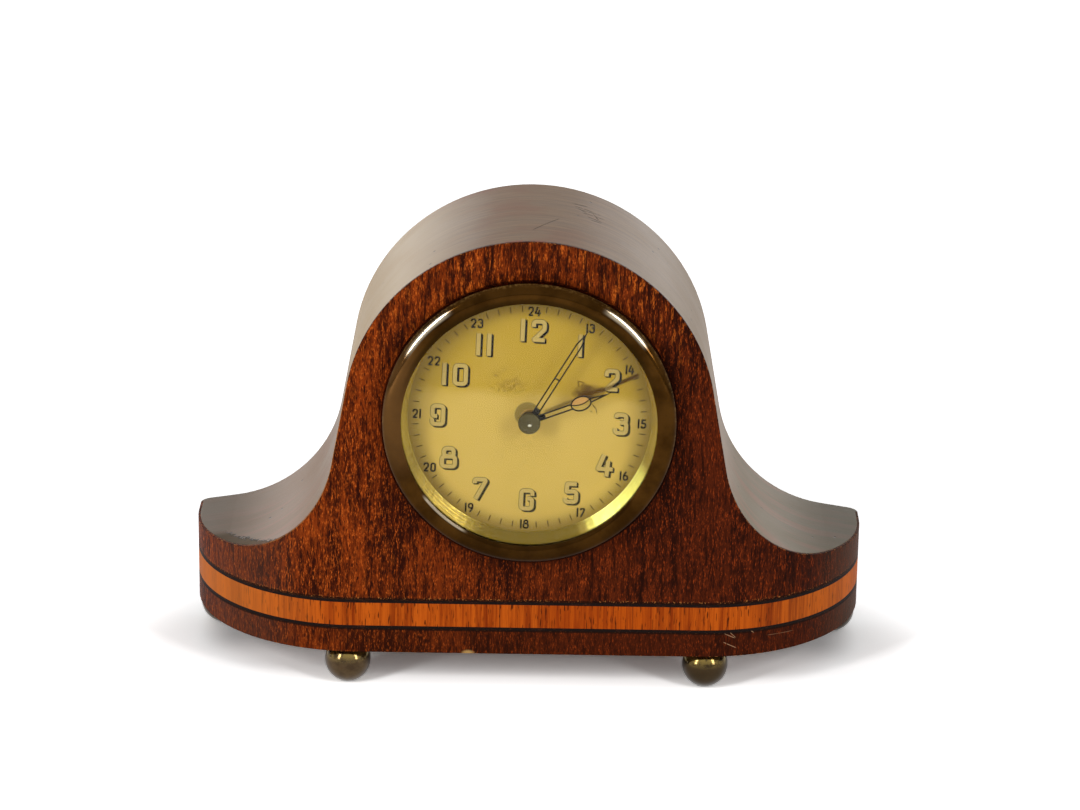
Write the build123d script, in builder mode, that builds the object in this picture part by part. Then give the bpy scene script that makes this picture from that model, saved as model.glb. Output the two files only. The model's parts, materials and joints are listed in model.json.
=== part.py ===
from build123d import *
import os
from math import cos, pi, radians, sin, sqrt, tan

os.makedirs("parts", exist_ok=True)

# A hat-shaped wooden mantel clock on four ball feet. Millimetres, +Z up, dial facing -Y.
# The origin is on the surface it stands on, under the middle of its outline.
# A depth is measured back from the flat front of the case; what stands proud has a negative depth.
# A place is (x, height) measured from the dial's centre, and bearings run anticlockwise from the right.

# Case, seen from the front and from above
case_width = 220.0
case_depth = 65.0
dial_height = 80.0
hump_radius = 58.8
flank_lean = 10.3
wing_tip_height = 27.3
tail_run = 12.2
tail_slope = 8.8
front_corner_radius = 54.5
rear_corner_radius = 3.0
top_veneer_thickness = 0.8
front_veneer_thickness = 0.8
inlay_bottom = 9.2
inlay_width = 7.85
stringing_width = 1.0

# Ball feet
foot_radius = 7.45
foot_floor_flat = 0.3
foot_seat_flat = 1.6
foot_stud_radius = 1.5
foot_stud_length = 12.0
front_foot_inset = 52.0
front_foot_depth = 8.5
rear_foot_inset = 7.7
rear_foot_depth = 57.3

# Bezel, glass, reflector and dial
bezel_width = 6.1
bezel_proud = 6.3
bezel_edge = 0.8
bezel_crest_share = 0.48
lip_proud = 5.8
lip_thickness = 0.6
glass_thickness = 1.2
glass_cover = 1.0
reflector_sheet = 0.4
reflector_width = 1.8
dial_depth = 2.5
dial_thickness = 0.5
dial_hole_radius = 3.0
dial_foot_radius = 0.8
dial_foot_place_radius = 30.0
dial_foot_bearings = (40, 220)

# Clearances
running_gap = 0.05
assembly_gap = 0.1
end_shake = 0.15
plate_clearance = 0.3
hole_clearance = 0.4
overrun = 1.0

# Drum and the way it is held
drum_wall = 0.5
bore_gap = 0.6
seat_width = 2.0
seat_gap = 0.7
seat_thickness = 0.8
cover_thickness = 0.8
cover_rim = 4.0
cover_space = 11.8
clip_bearings = (30, 150, 270)
clip_width = 8.0
clip_thickness = 1.2
clip_foot = 6.0
clip_height = 12.0
clip_screw_share = 0.6
clip_screw_radius = 1.1
clip_screw_head_radius = 2.2
clip_screw_head_height = 1.2
clip_screw_length = 9.0
seat_screw_bearings = (0, 120, 240)
seat_screw_radius = 0.6
seat_screw_head_radius = 1.0
seat_screw_head_height = 0.6

# Plates and pillars
motion_space = 4.2
plate_thickness = 1.2
plate_gap = 24.6
pillar_bearings = (45, 100, 205, 335)
pillar_radius = 2.0
pillar_tenon_radius = 1.0
pillar_place_radius = 36.0
pillar_nut_radius = 2.2
pillar_nut_height = 1.8
pivot_radius = 0.5
arbor_radius = 0.8

# Train: teeth, modules and the bearing from each arbor to the next
main_teeth = 72
centre_leaves = 12
main_module = 0.45
main_bearing = 270
centre_teeth = 64
third_leaves = 8
centre_module = 0.40
third_bearing = 60
third_teeth = 60
fourth_leaves = 8
third_module = 0.36
fourth_bearing = 165
fourth_teeth = 60
escape_leaves = 8
fourth_module = 0.32
escape_bearing = 150
escape_teeth = 16
escape_radius = 5.0
wheel_thickness = 0.9
escape_wheel_thickness = 0.6
pinion_overlap = 0.4
wheel_tooth_shares = ((-1.3, 0.26), (0.0, 0.21), (1.0, 0.07))
leaf_shares = ((-1.4, 0.17), (0.0, 0.17), (0.55, 0.07))
escape_tooth_shares = ((0.76, 0.30), (1.0, 0.36), (1.0, 0.44), (0.76, 0.62))
crossing_count = 4
crossing_radius_share = 0.24
crossing_place_share = 0.58

# Where the wheels stand between the plates
escape_level_share = 0.17
lever_level_share = 0.23
roller_level_share = 0.30
fourth_level_share = 0.34
balance_level_share = 0.47
third_level_share = 0.54
centre_level_share = 0.74
hairspring_level_share = 0.84

# Winding: main wheel, ratchet, click, spring and key
ratchet_thickness = 0.9
ratchet_teeth = 24
ratchet_radius = 7.0
ratchet_tooth_shares = ((0.84, 0.0), (1.0, 0.12), (0.84, 0.94))
click_place_radius = 11.0
click_stud_radius = 0.8
click_radius = 1.6
click_nose_turn = 34
winding_arbor_radius = 2.6
winding_pivot_radius = 1.5
winding_square = 3.0
spring_sheet = 0.35
spring_turns = 8
spring_outer_radius = 14.2
spring_post_radius = 1.0
spring_post_bearing = 300
key_shank_radius = 3.0
key_shank_length = 6.0
key_wing_span = 21.0
key_wing_height = 8.5
key_wing_thickness = 1.6
key_eye_share = 0.26
key_lift = 0.6

# Centre arbor, friction spring and setting knob
centre_arbor_radius = 1.0
sleeve_radius = 1.9
friction_spring_radius = 5.0
friction_spring_thickness = 0.4
knob_radius = 5.0
knob_length = 5.0
knob_flutes = 20
knob_flute_radius = 0.5

# Escapement
lever_distance = 7.5
lever_bearing = 235
lever_thickness = 0.8
lever_arm_width = 1.4
lever_pin_radius = 0.25
lever_pin_orbit = 5.85
lever_pin_turn = 50
lever_pin_reach = 2.0
fork_length = 7.6
fork_width = 2.2
fork_slot_width = 0.9
fork_slot_length = 1.6
balance_distance = 10.5
balance_radius = 9.2
balance_rim = 1.4
balance_thickness = 1.4
balance_spokes = 3
balance_spoke_width = 1.4
staff_radius = 0.7
staff_pivot_radius = 0.3
roller_radius = 2.6
roller_thickness = 0.7
impulse_pin_radius = 0.3
impulse_orbit = 2.0
collet_radius = 1.1
hairspring_sheet = 0.2
hairspring_height = 0.8
hairspring_turns = 6
hairspring_outer_radius = 6.0
stud_radius = 0.5
bearing_screw_radius = 1.5
bearing_screw_inside = 1.6
bearing_screw_outside = 1.4
bearing_cup_depth = 1.0
regulator_thickness = 0.8
regulator_ring = 1.6
regulator_arm = 9.0
regulator_arm_width = 1.6
regulator_bearing = 180
regulator_half_range = 18
regulator_finger_radius = 0.9
regulator_finger_reach = 3.0
curb_pin_radius = 0.3
curb_pin_orbit = 7.4

# Motion work and hands
cannon_leaves = 12
minute_teeth = 36
minute_module = 0.40
minute_leaves = 10
hour_teeth = 40
minute_bearing = 0
minute_wheel_gap = 0.5
hour_wheel_gap = 0.5
motion_wheel_thickness = 0.8
motion_stud_radius = 0.8
cannon_radius = 1.6
hour_pipe_wall = 0.6
hand_thickness = 0.3
hour_hand_height = 3.4
minute_hand_height = 4.4
hand_cap_height = 5.9
hand_cap_radius = 3.5
hand_cap_bevel = 0.25
arbor_proud = 0.2
hour_hand_turn = 68.8
hour_hand_length = 27.4
hour_hub_radius = 3.1
hour_hub_height = 0.9
hour_root_length = 5.4
hour_stem_width = 2.0
hour_ring_place = 17.4
hour_ring_length = 6.8
hour_ring_width = 5.0
hour_lance_width = 1.7
minute_hand_turn = 30.6
minute_hub_radius = 2.9
minute_root_length = 5.4
minute_stem_width = 2.1
minute_shoulder_run = 3.9
minute_bar_place = 16.9
minute_point_length = 34.0
minute_needle_run = 2.5
minute_tip_gap = 2.1
minute_needle_width = 0.4
hand_rail = 0.42


# Places worked out from the sizes above
base_height = 2 * foot_radius - foot_floor_flat - foot_seat_flat
dial_z = base_height + dial_height
front_y = (bezel_proud - case_depth) / 2
rear_y = front_y + case_depth
minute_stem_length = minute_point_length - minute_shoulder_run
minute_hand_length = minute_point_length + minute_needle_run

# The drum clears the pillars, the main wheel and the sweep of the minute hand, and carries the glass
pillar_reach = pillar_place_radius + pillar_nut_radius + seat_gap + seat_width
main_wheel_reach = (main_teeth + centre_leaves / 2 + wheel_tooth_shares[-1][0]) * main_module + plate_clearance
minute_hand_reach = minute_hand_length + minute_tip_gap + reflector_width + glass_cover - drum_wall
drum_inner_radius = max(pillar_reach, main_wheel_reach, minute_hand_reach)
drum_radius = drum_inner_radius + drum_wall
bore_radius = drum_radius + bore_gap
glass_radius = drum_radius
rebate_radius = glass_radius + assembly_gap
lip_radius = glass_radius - glass_cover
bezel_radius = lip_radius + bezel_width
reflector_inner_radius = lip_radius - reflector_width
glass_near = lip_thickness - lip_proud
glass_far = glass_near + glass_thickness
drum_near = glass_far + reflector_sheet
dial_far = dial_depth + dial_thickness
front_plate_near = dial_far + motion_space
front_plate_far = front_plate_near + plate_thickness
rear_plate_near = front_plate_far + plate_gap
rear_plate_far = rear_plate_near + plate_thickness
cover_near = rear_plate_far + cover_space
cover_far = cover_near + cover_thickness
front_plate_radius = drum_inner_radius - plate_clearance
rear_plate_radius = drum_inner_radius - seat_width - seat_gap


def beyond(place, distance, bearing):
    """The place at a distance and bearing from another."""
    return (place[0] + distance * cos(radians(bearing)), place[1] + distance * sin(radians(bearing)))


def mesh_distance(teeth, leaves, module):
    """How far apart the arbors of a wheel and its pinion stand."""
    return (teeth + leaves) * module / 2


def level(share):
    """A depth between the plates."""
    return front_plate_far + share * plate_gap


centre_place = (0, 0)
main_place = beyond(centre_place, mesh_distance(main_teeth, centre_leaves, main_module), main_bearing)
third_place = beyond(centre_place, mesh_distance(centre_teeth, third_leaves, centre_module), third_bearing)
fourth_place = beyond(third_place, mesh_distance(third_teeth, fourth_leaves, third_module), fourth_bearing)
escape_distance = mesh_distance(fourth_teeth, escape_leaves, fourth_module)
escape_place = beyond(fourth_place, escape_distance, escape_bearing)
lever_place = beyond(escape_place, lever_distance, lever_bearing)
balance_place = beyond(lever_place, balance_distance, lever_bearing)
motion_distance = mesh_distance(minute_teeth, cannon_leaves, minute_module)
minute_place = beyond(centre_place, motion_distance, minute_bearing)
hour_module = 2 * motion_distance / (hour_teeth + minute_leaves)
pillar_places = [beyond(centre_place, pillar_place_radius, bearing) for bearing in pillar_bearings]
dial_foot_places = [beyond(centre_place, dial_foot_place_radius, bearing) for bearing in dial_foot_bearings]
seat_screw_places = [
    beyond(centre_place, drum_inner_radius - seat_width / 2, bearing) for bearing in seat_screw_bearings
]
pivoted_places = [third_place, fourth_place, escape_place, lever_place]

ratchet_near = front_plate_far + end_shake
ratchet_far = ratchet_near + ratchet_thickness
main_wheel_near = ratchet_far + end_shake
main_wheel_far = main_wheel_near + wheel_thickness
centre_wheel_near = level(centre_level_share)
centre_wheel_far = centre_wheel_near + wheel_thickness
spring_near = main_wheel_far + plate_clearance
spring_far = centre_wheel_near - pinion_overlap
spring_inner_radius = winding_arbor_radius + assembly_gap + spring_sheet
spring_post_place = beyond(main_place, spring_outer_radius + spring_post_radius, spring_post_bearing)
hour_wheel_near = dial_far + hour_wheel_gap
hour_wheel_far = hour_wheel_near + motion_wheel_thickness
minute_wheel_far = front_plate_near - minute_wheel_gap
minute_wheel_near = minute_wheel_far - motion_wheel_thickness
hour_pipe_radius = cannon_radius + running_gap + hour_pipe_wall
hour_hand_near = dial_depth - hour_hand_height - hand_thickness
minute_hand_near = dial_depth - minute_hand_height - hand_thickness
key_near = cover_far + key_lift
knob_near = cover_far + key_lift
hairspring_near = level(hairspring_level_share)
hairspring_far = hairspring_near + hairspring_height
lever_near = level(lever_level_share)
lever_far = lever_near + lever_thickness
regulator_near = rear_plate_far + assembly_gap
regulator_far = regulator_near + regulator_thickness


def at_depth(depth, turn=0):
    """A plane facing the front at a depth, centred on the dial and turned about its axis."""
    along = (cos(radians(turn)), 0, sin(radians(turn)))
    return Plane((0, front_y + depth, dial_z), x_dir=along, z_dir=(0, -1, 0))


def rod(place, radius, near, far, mode=Mode.ADD):
    """A round rod, or a round hole, about a place from one depth to another."""
    with BuildSketch(at_depth(far)) as section:
        with Locations(place):
            Circle(radius)
    extrude(section.sketch, amount=far - near, mode=mode)


def rods(places, radius, near, far, mode=Mode.ADD):
    """The same rod or hole at several places."""
    with BuildSketch(at_depth(far)) as section:
        with Locations(*places):
            Circle(radius)
    extrude(section.sketch, amount=far - near, mode=mode)


def slab(place, points, near, far, turn=0, mode=Mode.ADD):
    """A flat piece with a straight-sided outline about a place."""
    with BuildSketch(at_depth(far)) as section:
        with Locations(Location((*place, 0), (0, 0, turn))):
            Polygon(*points)
    extrude(section.sketch, amount=far - near, mode=mode)


def bar(start, end, width, near, far, mode=Mode.ADD):
    """A round-ended bar between two places."""
    with BuildSketch(at_depth(far)) as section:
        with BuildLine() as middle:
            Line(start, end)
        SlotArc(middle.wire(), width)
    extrude(section.sketch, amount=far - near, mode=mode)


def arc_slot(place, radius, bearing, half_range, width, near, far):
    """A slot along an arc about a place, cut right through."""
    with BuildSketch(at_depth(far + overrun)) as section:
        with BuildLine() as middle:
            CenterArc(place, radius, bearing - half_range, 2 * half_range)
        SlotArc(middle.wire(), width)
    extrude(section.sketch, amount=far - near + 2 * overrun, mode=Mode.SUBTRACT)


def tooth_points(teeth, pitch_radius, module, shares):
    """A toothed outline: each tooth rises in modules and is so wide in shares of the pitch."""
    points = []
    for tooth in range(teeth):
        flank = [(pitch_radius + rise * module, -half) for rise, half in shares]
        flank += [(radius, -half) for radius, half in reversed(flank)]
        for radius, half in flank:
            angle = (tooth + half) * 2 * pi / teeth
            points.append((radius * cos(angle), radius * sin(angle)))
    return points


def wheel_points(teeth, module):
    return tooth_points(teeth, teeth * module / 2, module, wheel_tooth_shares)


def pinion_points(leaves, module):
    return tooth_points(leaves, leaves * module / 2, module, leaf_shares)


def saw_points(teeth, radius, shares):
    """A saw-toothed outline: each point is a share of the radius and of the pitch."""
    points = []
    for tooth in range(teeth):
        for radius_share, pitch_share in shares:
            angle = (tooth + pitch_share) * 2 * pi / teeth
            points.append((radius * radius_share * cos(angle), radius * radius_share * sin(angle)))
    return points


def crossings(place, radius, near, far):
    """The round openings that lighten a wheel."""
    with BuildSketch(at_depth(far + overrun)) as section:
        with Locations(place):
            with PolarLocations(radius * crossing_place_share, crossing_count, 180 / crossing_count):
                Circle(radius * crossing_radius_share)
    extrude(section.sketch, amount=far - near + 2 * overrun, mode=Mode.SUBTRACT)


def pivoted_arbor(place):
    """An arbor between the plates, with a pivot at each end."""
    rod(place, arbor_radius, front_plate_far + end_shake, rear_plate_near - end_shake)
    rod(place, pivot_radius, front_plate_near, rear_plate_far)


def dial_section():
    """A plane through the dial's axis: radius to the right, out of the front upwards."""
    return Plane((0, front_y, dial_z), x_dir=(1, 0, 0), z_dir=(0, 0, -1))


def about(place):
    """The axis through a place, front to back."""
    return Axis((place[0], front_y, dial_z + place[1]), (0, 1, 0))


def finish(builder, name):
    """Name a finished piece and write it out."""
    builder.part.label = name
    export_step(builder.part, f"parts/{name}.step")


# Outline of the case: hump, leaning flanks, hollows and tails, all tangent to each other
lean = radians(flank_lean)
slope = radians(tail_slope)
reach_x = case_width / 2 - tail_run - hump_radius * cos(lean)
reach_z = dial_height + hump_radius * sin(lean) - wing_tip_height - tail_run * tan(slope)
across = cos(lean) - sin(slope)
down = cos(slope) - sin(lean)
hollow_radius = (reach_z * sin(lean) - reach_x * cos(lean)) / (down * sin(lean) - across * cos(lean))
flank_length = (reach_z - hollow_radius * down) / cos(lean)


def hat(inset):
    """The front outline of the case, drawn in by a thickness along its top."""
    hump = hump_radius - inset
    hollow = hollow_radius + inset
    shoulder = (hump * cos(lean), dial_height + hump * sin(lean))
    hollow_x = hump_radius * cos(lean) + flank_length * sin(lean) + hollow_radius * cos(lean)
    hollow_z = dial_height + (hump_radius + hollow_radius) * sin(lean) - flank_length * cos(lean)
    foot = (hollow_x - hollow * cos(lean), hollow_z - hollow * sin(lean))
    middle = (lean + pi / 2 - slope) / 2
    belly = (hollow_x - hollow * cos(middle), hollow_z - hollow * sin(middle))
    tail = (hollow_x - hollow * sin(slope), hollow_z - hollow * cos(slope))
    tip = (case_width / 2, wing_tip_height - inset / cos(slope))
    with BuildSketch(Plane((0, rear_y, base_height), x_dir=(1, 0, 0), z_dir=(0, -1, 0))) as outline:
        with BuildLine():
            Polyline((-tip[0], tip[1]), (-tip[0], 0), (tip[0], 0), tip, tail)
            ThreePointArc(tail, belly, foot)
            Line(foot, shoulder)
            ThreePointArc(shoulder, (0, dial_height + hump), (-shoulder[0], shoulder[1]))
            Line((-shoulder[0], shoulder[1]), (-foot[0], foot[1]))
            ThreePointArc((-foot[0], foot[1]), (-belly[0], belly[1]), (-tail[0], tail[1]))
            Line((-tail[0], tail[1]), (-tip[0], tip[1]))
        make_face()
    return outline.sketch


corner_radius = min(front_corner_radius, case_depth - rear_corner_radius - overrun)


def plan(height):
    """The case seen from above, with its deep front corners."""
    with BuildSketch(Plane.XY.offset(height)) as outline:
        with Locations((0, front_y + case_depth / 2)):
            Rectangle(case_width, case_depth)
        fillet(outline.vertices().group_by(Axis.Y)[0], corner_radius)
        fillet(outline.vertices().sort_by(Axis.Y)[-2:], rear_corner_radius)
    return outline.sketch


def veneer_plan(height):
    """The strip of veneer that runs along the front and round both corners."""
    with BuildSketch(Plane.XY.offset(height)) as strip:
        with Locations((0, front_y + case_depth / 2)):
            Rectangle(case_width, case_depth)
        fillet(strip.vertices().group_by(Axis.Y)[0], corner_radius)
        offset(amount=-front_veneer_thickness, mode=Mode.SUBTRACT)
        with Locations((0, rear_y)):
            Rectangle(case_width + overrun, 2 * rear_corner_radius, mode=Mode.SUBTRACT)
    return strip.sketch


case_top = base_height + dial_height + hump_radius + overrun

# Wooden block, bored right through for the drum
foot_places = [
    (front_foot_inset - case_width / 2, front_y + front_foot_depth),
    (case_width / 2 - front_foot_inset, front_y + front_foot_depth),
    (rear_foot_inset - case_width / 2, front_y + rear_foot_depth),
    (case_width / 2 - rear_foot_inset, front_y + rear_foot_depth),
]
clip_face = sqrt(bore_radius**2 - (clip_width / 2) ** 2) - assembly_gap
clip_screw_depth = cover_far + clip_height * clip_screw_share


def clip_plane(bearing, radius):
    """A plane square to a bearing at a radius, at the depth of the clip screws."""
    outward = (cos(radians(bearing)), 0, sin(radians(bearing)))
    origin = (radius * outward[0], front_y + clip_screw_depth, dial_z + radius * outward[2])
    return Plane(origin, x_dir=(0, 1, 0), z_dir=outward)


with BuildPart() as case_body:
    extrude(hat(top_veneer_thickness), amount=case_depth)
    extrude(plan(base_height), amount=case_top, mode=Mode.INTERSECT)
    extrude(veneer_plan(base_height - overrun), amount=case_top, mode=Mode.SUBTRACT)
    rod(centre_place, bore_radius, -overrun, case_depth + overrun, mode=Mode.SUBTRACT)
    with BuildSketch(Plane.XY.offset(base_height - overrun)):
        with Locations(*foot_places):
            Circle(foot_stud_radius + running_gap)
    extrude(amount=foot_stud_length + 2 * overrun, mode=Mode.SUBTRACT)
    for bearing in clip_bearings:
        with BuildSketch(clip_plane(bearing, clip_face - overrun)):
            Circle(clip_screw_radius)
        extrude(amount=clip_screw_length + 2 * overrun, mode=Mode.SUBTRACT)
finish(case_body, "case_body")

# Veneer over the hump, flanks and wings
with BuildPart() as top_veneer:
    extrude(hat(0), amount=case_depth)
    extrude(hat(top_veneer_thickness), amount=case_depth, mode=Mode.SUBTRACT)
    extrude(plan(base_height), amount=case_top, mode=Mode.INTERSECT)
    extrude(veneer_plan(base_height - overrun), amount=case_top, mode=Mode.SUBTRACT)
finish(top_veneer, "top_veneer")

# Front veneer, black lines and light band, laid one above the other
inlay_top = inlay_bottom + inlay_width
front_layers = (
    ("front_veneer_lower", 0, inlay_bottom - stringing_width),
    ("stringing_lower", inlay_bottom - stringing_width, inlay_bottom),
    ("inlay_band", inlay_bottom, inlay_top),
    ("stringing_upper", inlay_top, inlay_top + stringing_width),
    ("front_veneer_upper", inlay_top + stringing_width, dial_height + hump_radius + overrun),
)
for name, low, high in front_layers:
    with BuildPart() as front_layer:
        extrude(hat(0), amount=case_depth)
        extrude(veneer_plan(base_height + low), amount=high - low, mode=Mode.INTERSECT)
        rod(centre_place, bore_radius, -overrun, case_depth + overrun, mode=Mode.SUBTRACT)
    finish(front_layer, name)

# Ball feet, flat where they stand and where they meet the base, with a stud into the wood
for name, (x, y) in zip(("front_left", "front_right", "rear_left", "rear_right"), foot_places):
    with BuildPart() as foot:
        with Locations((x, y, foot_radius - foot_floor_flat)):
            Sphere(foot_radius)
        with BuildSketch(Plane.XY):
            with Locations((x, y)):
                Circle(2 * foot_radius)
        extrude(amount=base_height, mode=Mode.INTERSECT)
        with BuildSketch(Plane.XY.offset(foot_radius)):
            with Locations((x, y)):
                Circle(foot_stud_radius)
        extrude(amount=base_height - foot_radius + foot_stud_length)
    finish(foot, f"foot_{name}")

# Half-round bezel with a rebate for the glass behind its lip
with BuildPart() as bezel:
    crest = (lip_radius + bezel_crest_share * (bezel_radius - lip_radius), bezel_proud)
    with BuildSketch(dial_section()):
        with BuildLine():
            Polyline(
                (lip_radius, lip_proud),
                (lip_radius, lip_proud - lip_thickness),
                (rebate_radius, lip_proud - lip_thickness),
                (rebate_radius, 0),
                (bezel_radius, 0),
                (bezel_radius, bezel_edge),
            )
            TangentArc(crest, (bezel_radius, bezel_edge), tangent=(1, 0))
            TangentArc(crest, (lip_radius, lip_proud), tangent=(-1, 0))
        make_face()
    revolve(axis=about(centre_place))
finish(bezel, "bezel")

with BuildPart() as glass:
    rod(centre_place, glass_radius, glass_near, glass_far)
finish(glass, "glass")

# Conical ring from the glass down to the dial
with BuildPart() as reflector_ring:
    with BuildSketch(dial_section()):
        with BuildLine():
            Polyline(
                (glass_radius, -glass_far),
                (lip_radius, -glass_far),
                (reflector_inner_radius, -dial_depth),
                (reflector_inner_radius + 2 * reflector_sheet, -dial_depth),
                (lip_radius + reflector_sheet, -drum_near),
                (glass_radius, -drum_near),
                close=True,
            )
        make_face()
    revolve(axis=about(centre_place))
finish(reflector_ring, "reflector_ring")

with BuildPart() as dial:
    rod(centre_place, drum_inner_radius - plate_clearance, dial_depth, dial_far)
    rods(dial_foot_places, dial_foot_radius, dial_far, front_plate_far)
    rod(centre_place, dial_hole_radius, dial_depth - overrun, dial_far + overrun, mode=Mode.SUBTRACT)
finish(dial, "dial")

# Drum: a sheet tube with a ledge that the front plate is screwed to
with BuildPart() as drum_case:
    rod(centre_place, drum_radius, drum_near, cover_near)
    rod(centre_place, drum_inner_radius, drum_near - overrun, front_plate_far, mode=Mode.SUBTRACT)
    ledge_far = front_plate_far + seat_thickness
    rod(centre_place, drum_inner_radius - seat_width, front_plate_far, ledge_far, mode=Mode.SUBTRACT)
    rod(centre_place, drum_inner_radius, ledge_far, cover_near + overrun, mode=Mode.SUBTRACT)
    rods(seat_screw_places, seat_screw_radius, front_plate_far, ledge_far, mode=Mode.SUBTRACT)
finish(drum_case, "drum_case")

# Lid of the drum, with its rim inside and holes for the key, the knob and the regulator
with BuildPart() as drum_cover:
    rim_radius = drum_inner_radius - running_gap
    rod(centre_place, drum_radius, cover_near, cover_far)
    rod(centre_place, rim_radius, cover_near - cover_rim, cover_near)
    rod(centre_place, rim_radius - drum_wall, cover_near - cover_rim, cover_near, mode=Mode.SUBTRACT)
    key_hole_radius = winding_square / sqrt(2) + hole_clearance
    rod(main_place, key_hole_radius, cover_near - overrun, cover_far + overrun, mode=Mode.SUBTRACT)
    knob_hole_radius = centre_arbor_radius + hole_clearance
    rod(centre_place, knob_hole_radius, cover_near - overrun, cover_far + overrun, mode=Mode.SUBTRACT)
    finger_slot_width = 2 * (regulator_finger_radius + hole_clearance)
    arc_slot(
        balance_place,
        regulator_arm,
        regulator_bearing,
        regulator_half_range,
        finger_slot_width,
        cover_near,
        cover_far,
    )
finish(drum_cover, "drum_cover")

# Clips that hold the drum in the bore, each with one leg on the wood and one on the drum's lid
for number, bearing in enumerate(clip_bearings, start=1):
    leg_middle = clip_face - clip_thickness / 2
    foot_middle = clip_face - clip_foot / 2
    with BuildPart() as retaining_clip:
        with BuildSketch(at_depth(cover_far + clip_height, bearing)):
            with Locations((leg_middle, 0)):
                Rectangle(clip_thickness, clip_width)
        extrude(amount=clip_height)
        with BuildSketch(at_depth(cover_far + clip_thickness, bearing)):
            with Locations((foot_middle, 0)):
                Rectangle(clip_foot, clip_width)
        extrude(amount=clip_thickness)
        with BuildSketch(clip_plane(bearing, clip_face - clip_thickness - overrun)):
            Circle(clip_screw_radius)
        extrude(amount=clip_thickness + 2 * overrun, mode=Mode.SUBTRACT)
    finish(retaining_clip, f"retaining_clip_{number}")

with BuildPart() as clip_screws:
    for bearing in clip_bearings:
        with BuildSketch(clip_plane(bearing, clip_face - clip_thickness - clip_screw_head_height)):
            Circle(clip_screw_head_radius)
        extrude(amount=clip_screw_head_height)
        with BuildSketch(clip_plane(bearing, clip_face - clip_thickness)):
            Circle(clip_screw_radius)
        extrude(amount=clip_screw_length)
finish(clip_screws, "clip_screws")

# Plates, with the holes that the arbors, pillars and screws need
with BuildPart() as front_plate:
    through = (front_plate_near - overrun, front_plate_far + overrun)
    rod(centre_place, front_plate_radius, front_plate_near, front_plate_far)
    rod(centre_place, centre_arbor_radius + running_gap, *through, mode=Mode.SUBTRACT)
    rod(main_place, winding_pivot_radius + running_gap, *through, mode=Mode.SUBTRACT)
    rod(balance_place, bearing_screw_radius, *through, mode=Mode.SUBTRACT)
    rods(pivoted_places, pivot_radius + running_gap, *through, mode=Mode.SUBTRACT)
    rods(pillar_places, pillar_tenon_radius, *through, mode=Mode.SUBTRACT)
    rods(seat_screw_places, seat_screw_radius, *through, mode=Mode.SUBTRACT)
    rods(dial_foot_places, dial_foot_radius + running_gap, *through, mode=Mode.SUBTRACT)
    rod(minute_place, motion_stud_radius, hour_wheel_near, front_plate_near)
finish(front_plate, "front_plate")

with BuildPart() as rear_plate:
    through = (rear_plate_near - overrun, rear_plate_far + overrun)
    rod(centre_place, rear_plate_radius, rear_plate_near, rear_plate_far)
    rod(centre_place, centre_arbor_radius + running_gap, *through, mode=Mode.SUBTRACT)
    rod(main_place, winding_arbor_radius + running_gap, *through, mode=Mode.SUBTRACT)
    rod(balance_place, bearing_screw_radius, *through, mode=Mode.SUBTRACT)
    rods(pivoted_places, pivot_radius + running_gap, *through, mode=Mode.SUBTRACT)
    rods(pillar_places, pillar_tenon_radius, *through, mode=Mode.SUBTRACT)
    curb_slot_width = 2 * (curb_pin_radius + hole_clearance / 2)
    arc_slot(
        balance_place,
        curb_pin_orbit,
        regulator_bearing,
        regulator_half_range,
        curb_slot_width,
        rear_plate_near,
        rear_plate_far,
    )
    stud_place = beyond(balance_place, hairspring_outer_radius, 0)
    rod(stud_place, stud_radius, hairspring_near, rear_plate_near)
    rod(spring_post_place, spring_post_radius, spring_near, rear_plate_near)
finish(rear_plate, "rear_plate")

for number, place in enumerate(pillar_places, start=1):
    with BuildPart() as pillar:
        rod(place, pillar_radius, front_plate_far, rear_plate_near)
        rod(place, pillar_tenon_radius, front_plate_near, rear_plate_far + pillar_nut_height)
    finish(pillar, f"pillar_{number}")

with BuildPart() as pillar_nuts:
    with BuildSketch(at_depth(rear_plate_far + pillar_nut_height)):
        with Locations(*pillar_places):
            RegularPolygon(pillar_nut_radius, 6)
            Circle(pillar_tenon_radius, mode=Mode.SUBTRACT)
    extrude(amount=pillar_nut_height)
finish(pillar_nuts, "pillar_nuts")

with BuildPart() as seat_screws:
    head_near = front_plate_near - seat_screw_head_height
    rods(seat_screw_places, seat_screw_head_radius, head_near, front_plate_near)
    rods(seat_screw_places, seat_screw_radius, front_plate_near, front_plate_far + seat_thickness)
finish(seat_screws, "seat_screws")

# Winding arbor with its ratchet, and the main wheel that turns on it and carries the click
with BuildPart() as winding_arbor:
    rod(main_place, winding_pivot_radius, front_plate_near, ratchet_near)
    rod(main_place, winding_arbor_radius, ratchet_near, rear_plate_far + end_shake)
    square_far = key_near + key_shank_length
    with BuildSketch(at_depth(square_far)):
        with Locations(main_place):
            Rectangle(winding_square, winding_square)
    extrude(amount=square_far - rear_plate_far)
finish(winding_arbor, "winding_arbor")

with BuildPart() as ratchet_wheel:
    ratchet_outline = saw_points(ratchet_teeth, ratchet_radius, ratchet_tooth_shares)
    slab(main_place, ratchet_outline, ratchet_near, ratchet_far)
    rod(main_place, winding_arbor_radius, ratchet_near - overrun, ratchet_far + overrun, mode=Mode.SUBTRACT)
finish(ratchet_wheel, "ratchet_wheel")

click_place = beyond(main_place, click_place_radius, 0)
with BuildPart() as main_wheel:
    main_pitch_radius = main_teeth * main_module / 2
    slab(main_place, wheel_points(main_teeth, main_module), main_wheel_near, main_wheel_far, turn=90)
    crossings(main_place, main_pitch_radius, main_wheel_near, main_wheel_far)
    bore = winding_arbor_radius + running_gap
    rod(main_place, bore, main_wheel_near - overrun, main_wheel_far + overrun, mode=Mode.SUBTRACT)
    rod(click_place, click_stud_radius, ratchet_near, main_wheel_near)
finish(main_wheel, "main_wheel")

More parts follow.
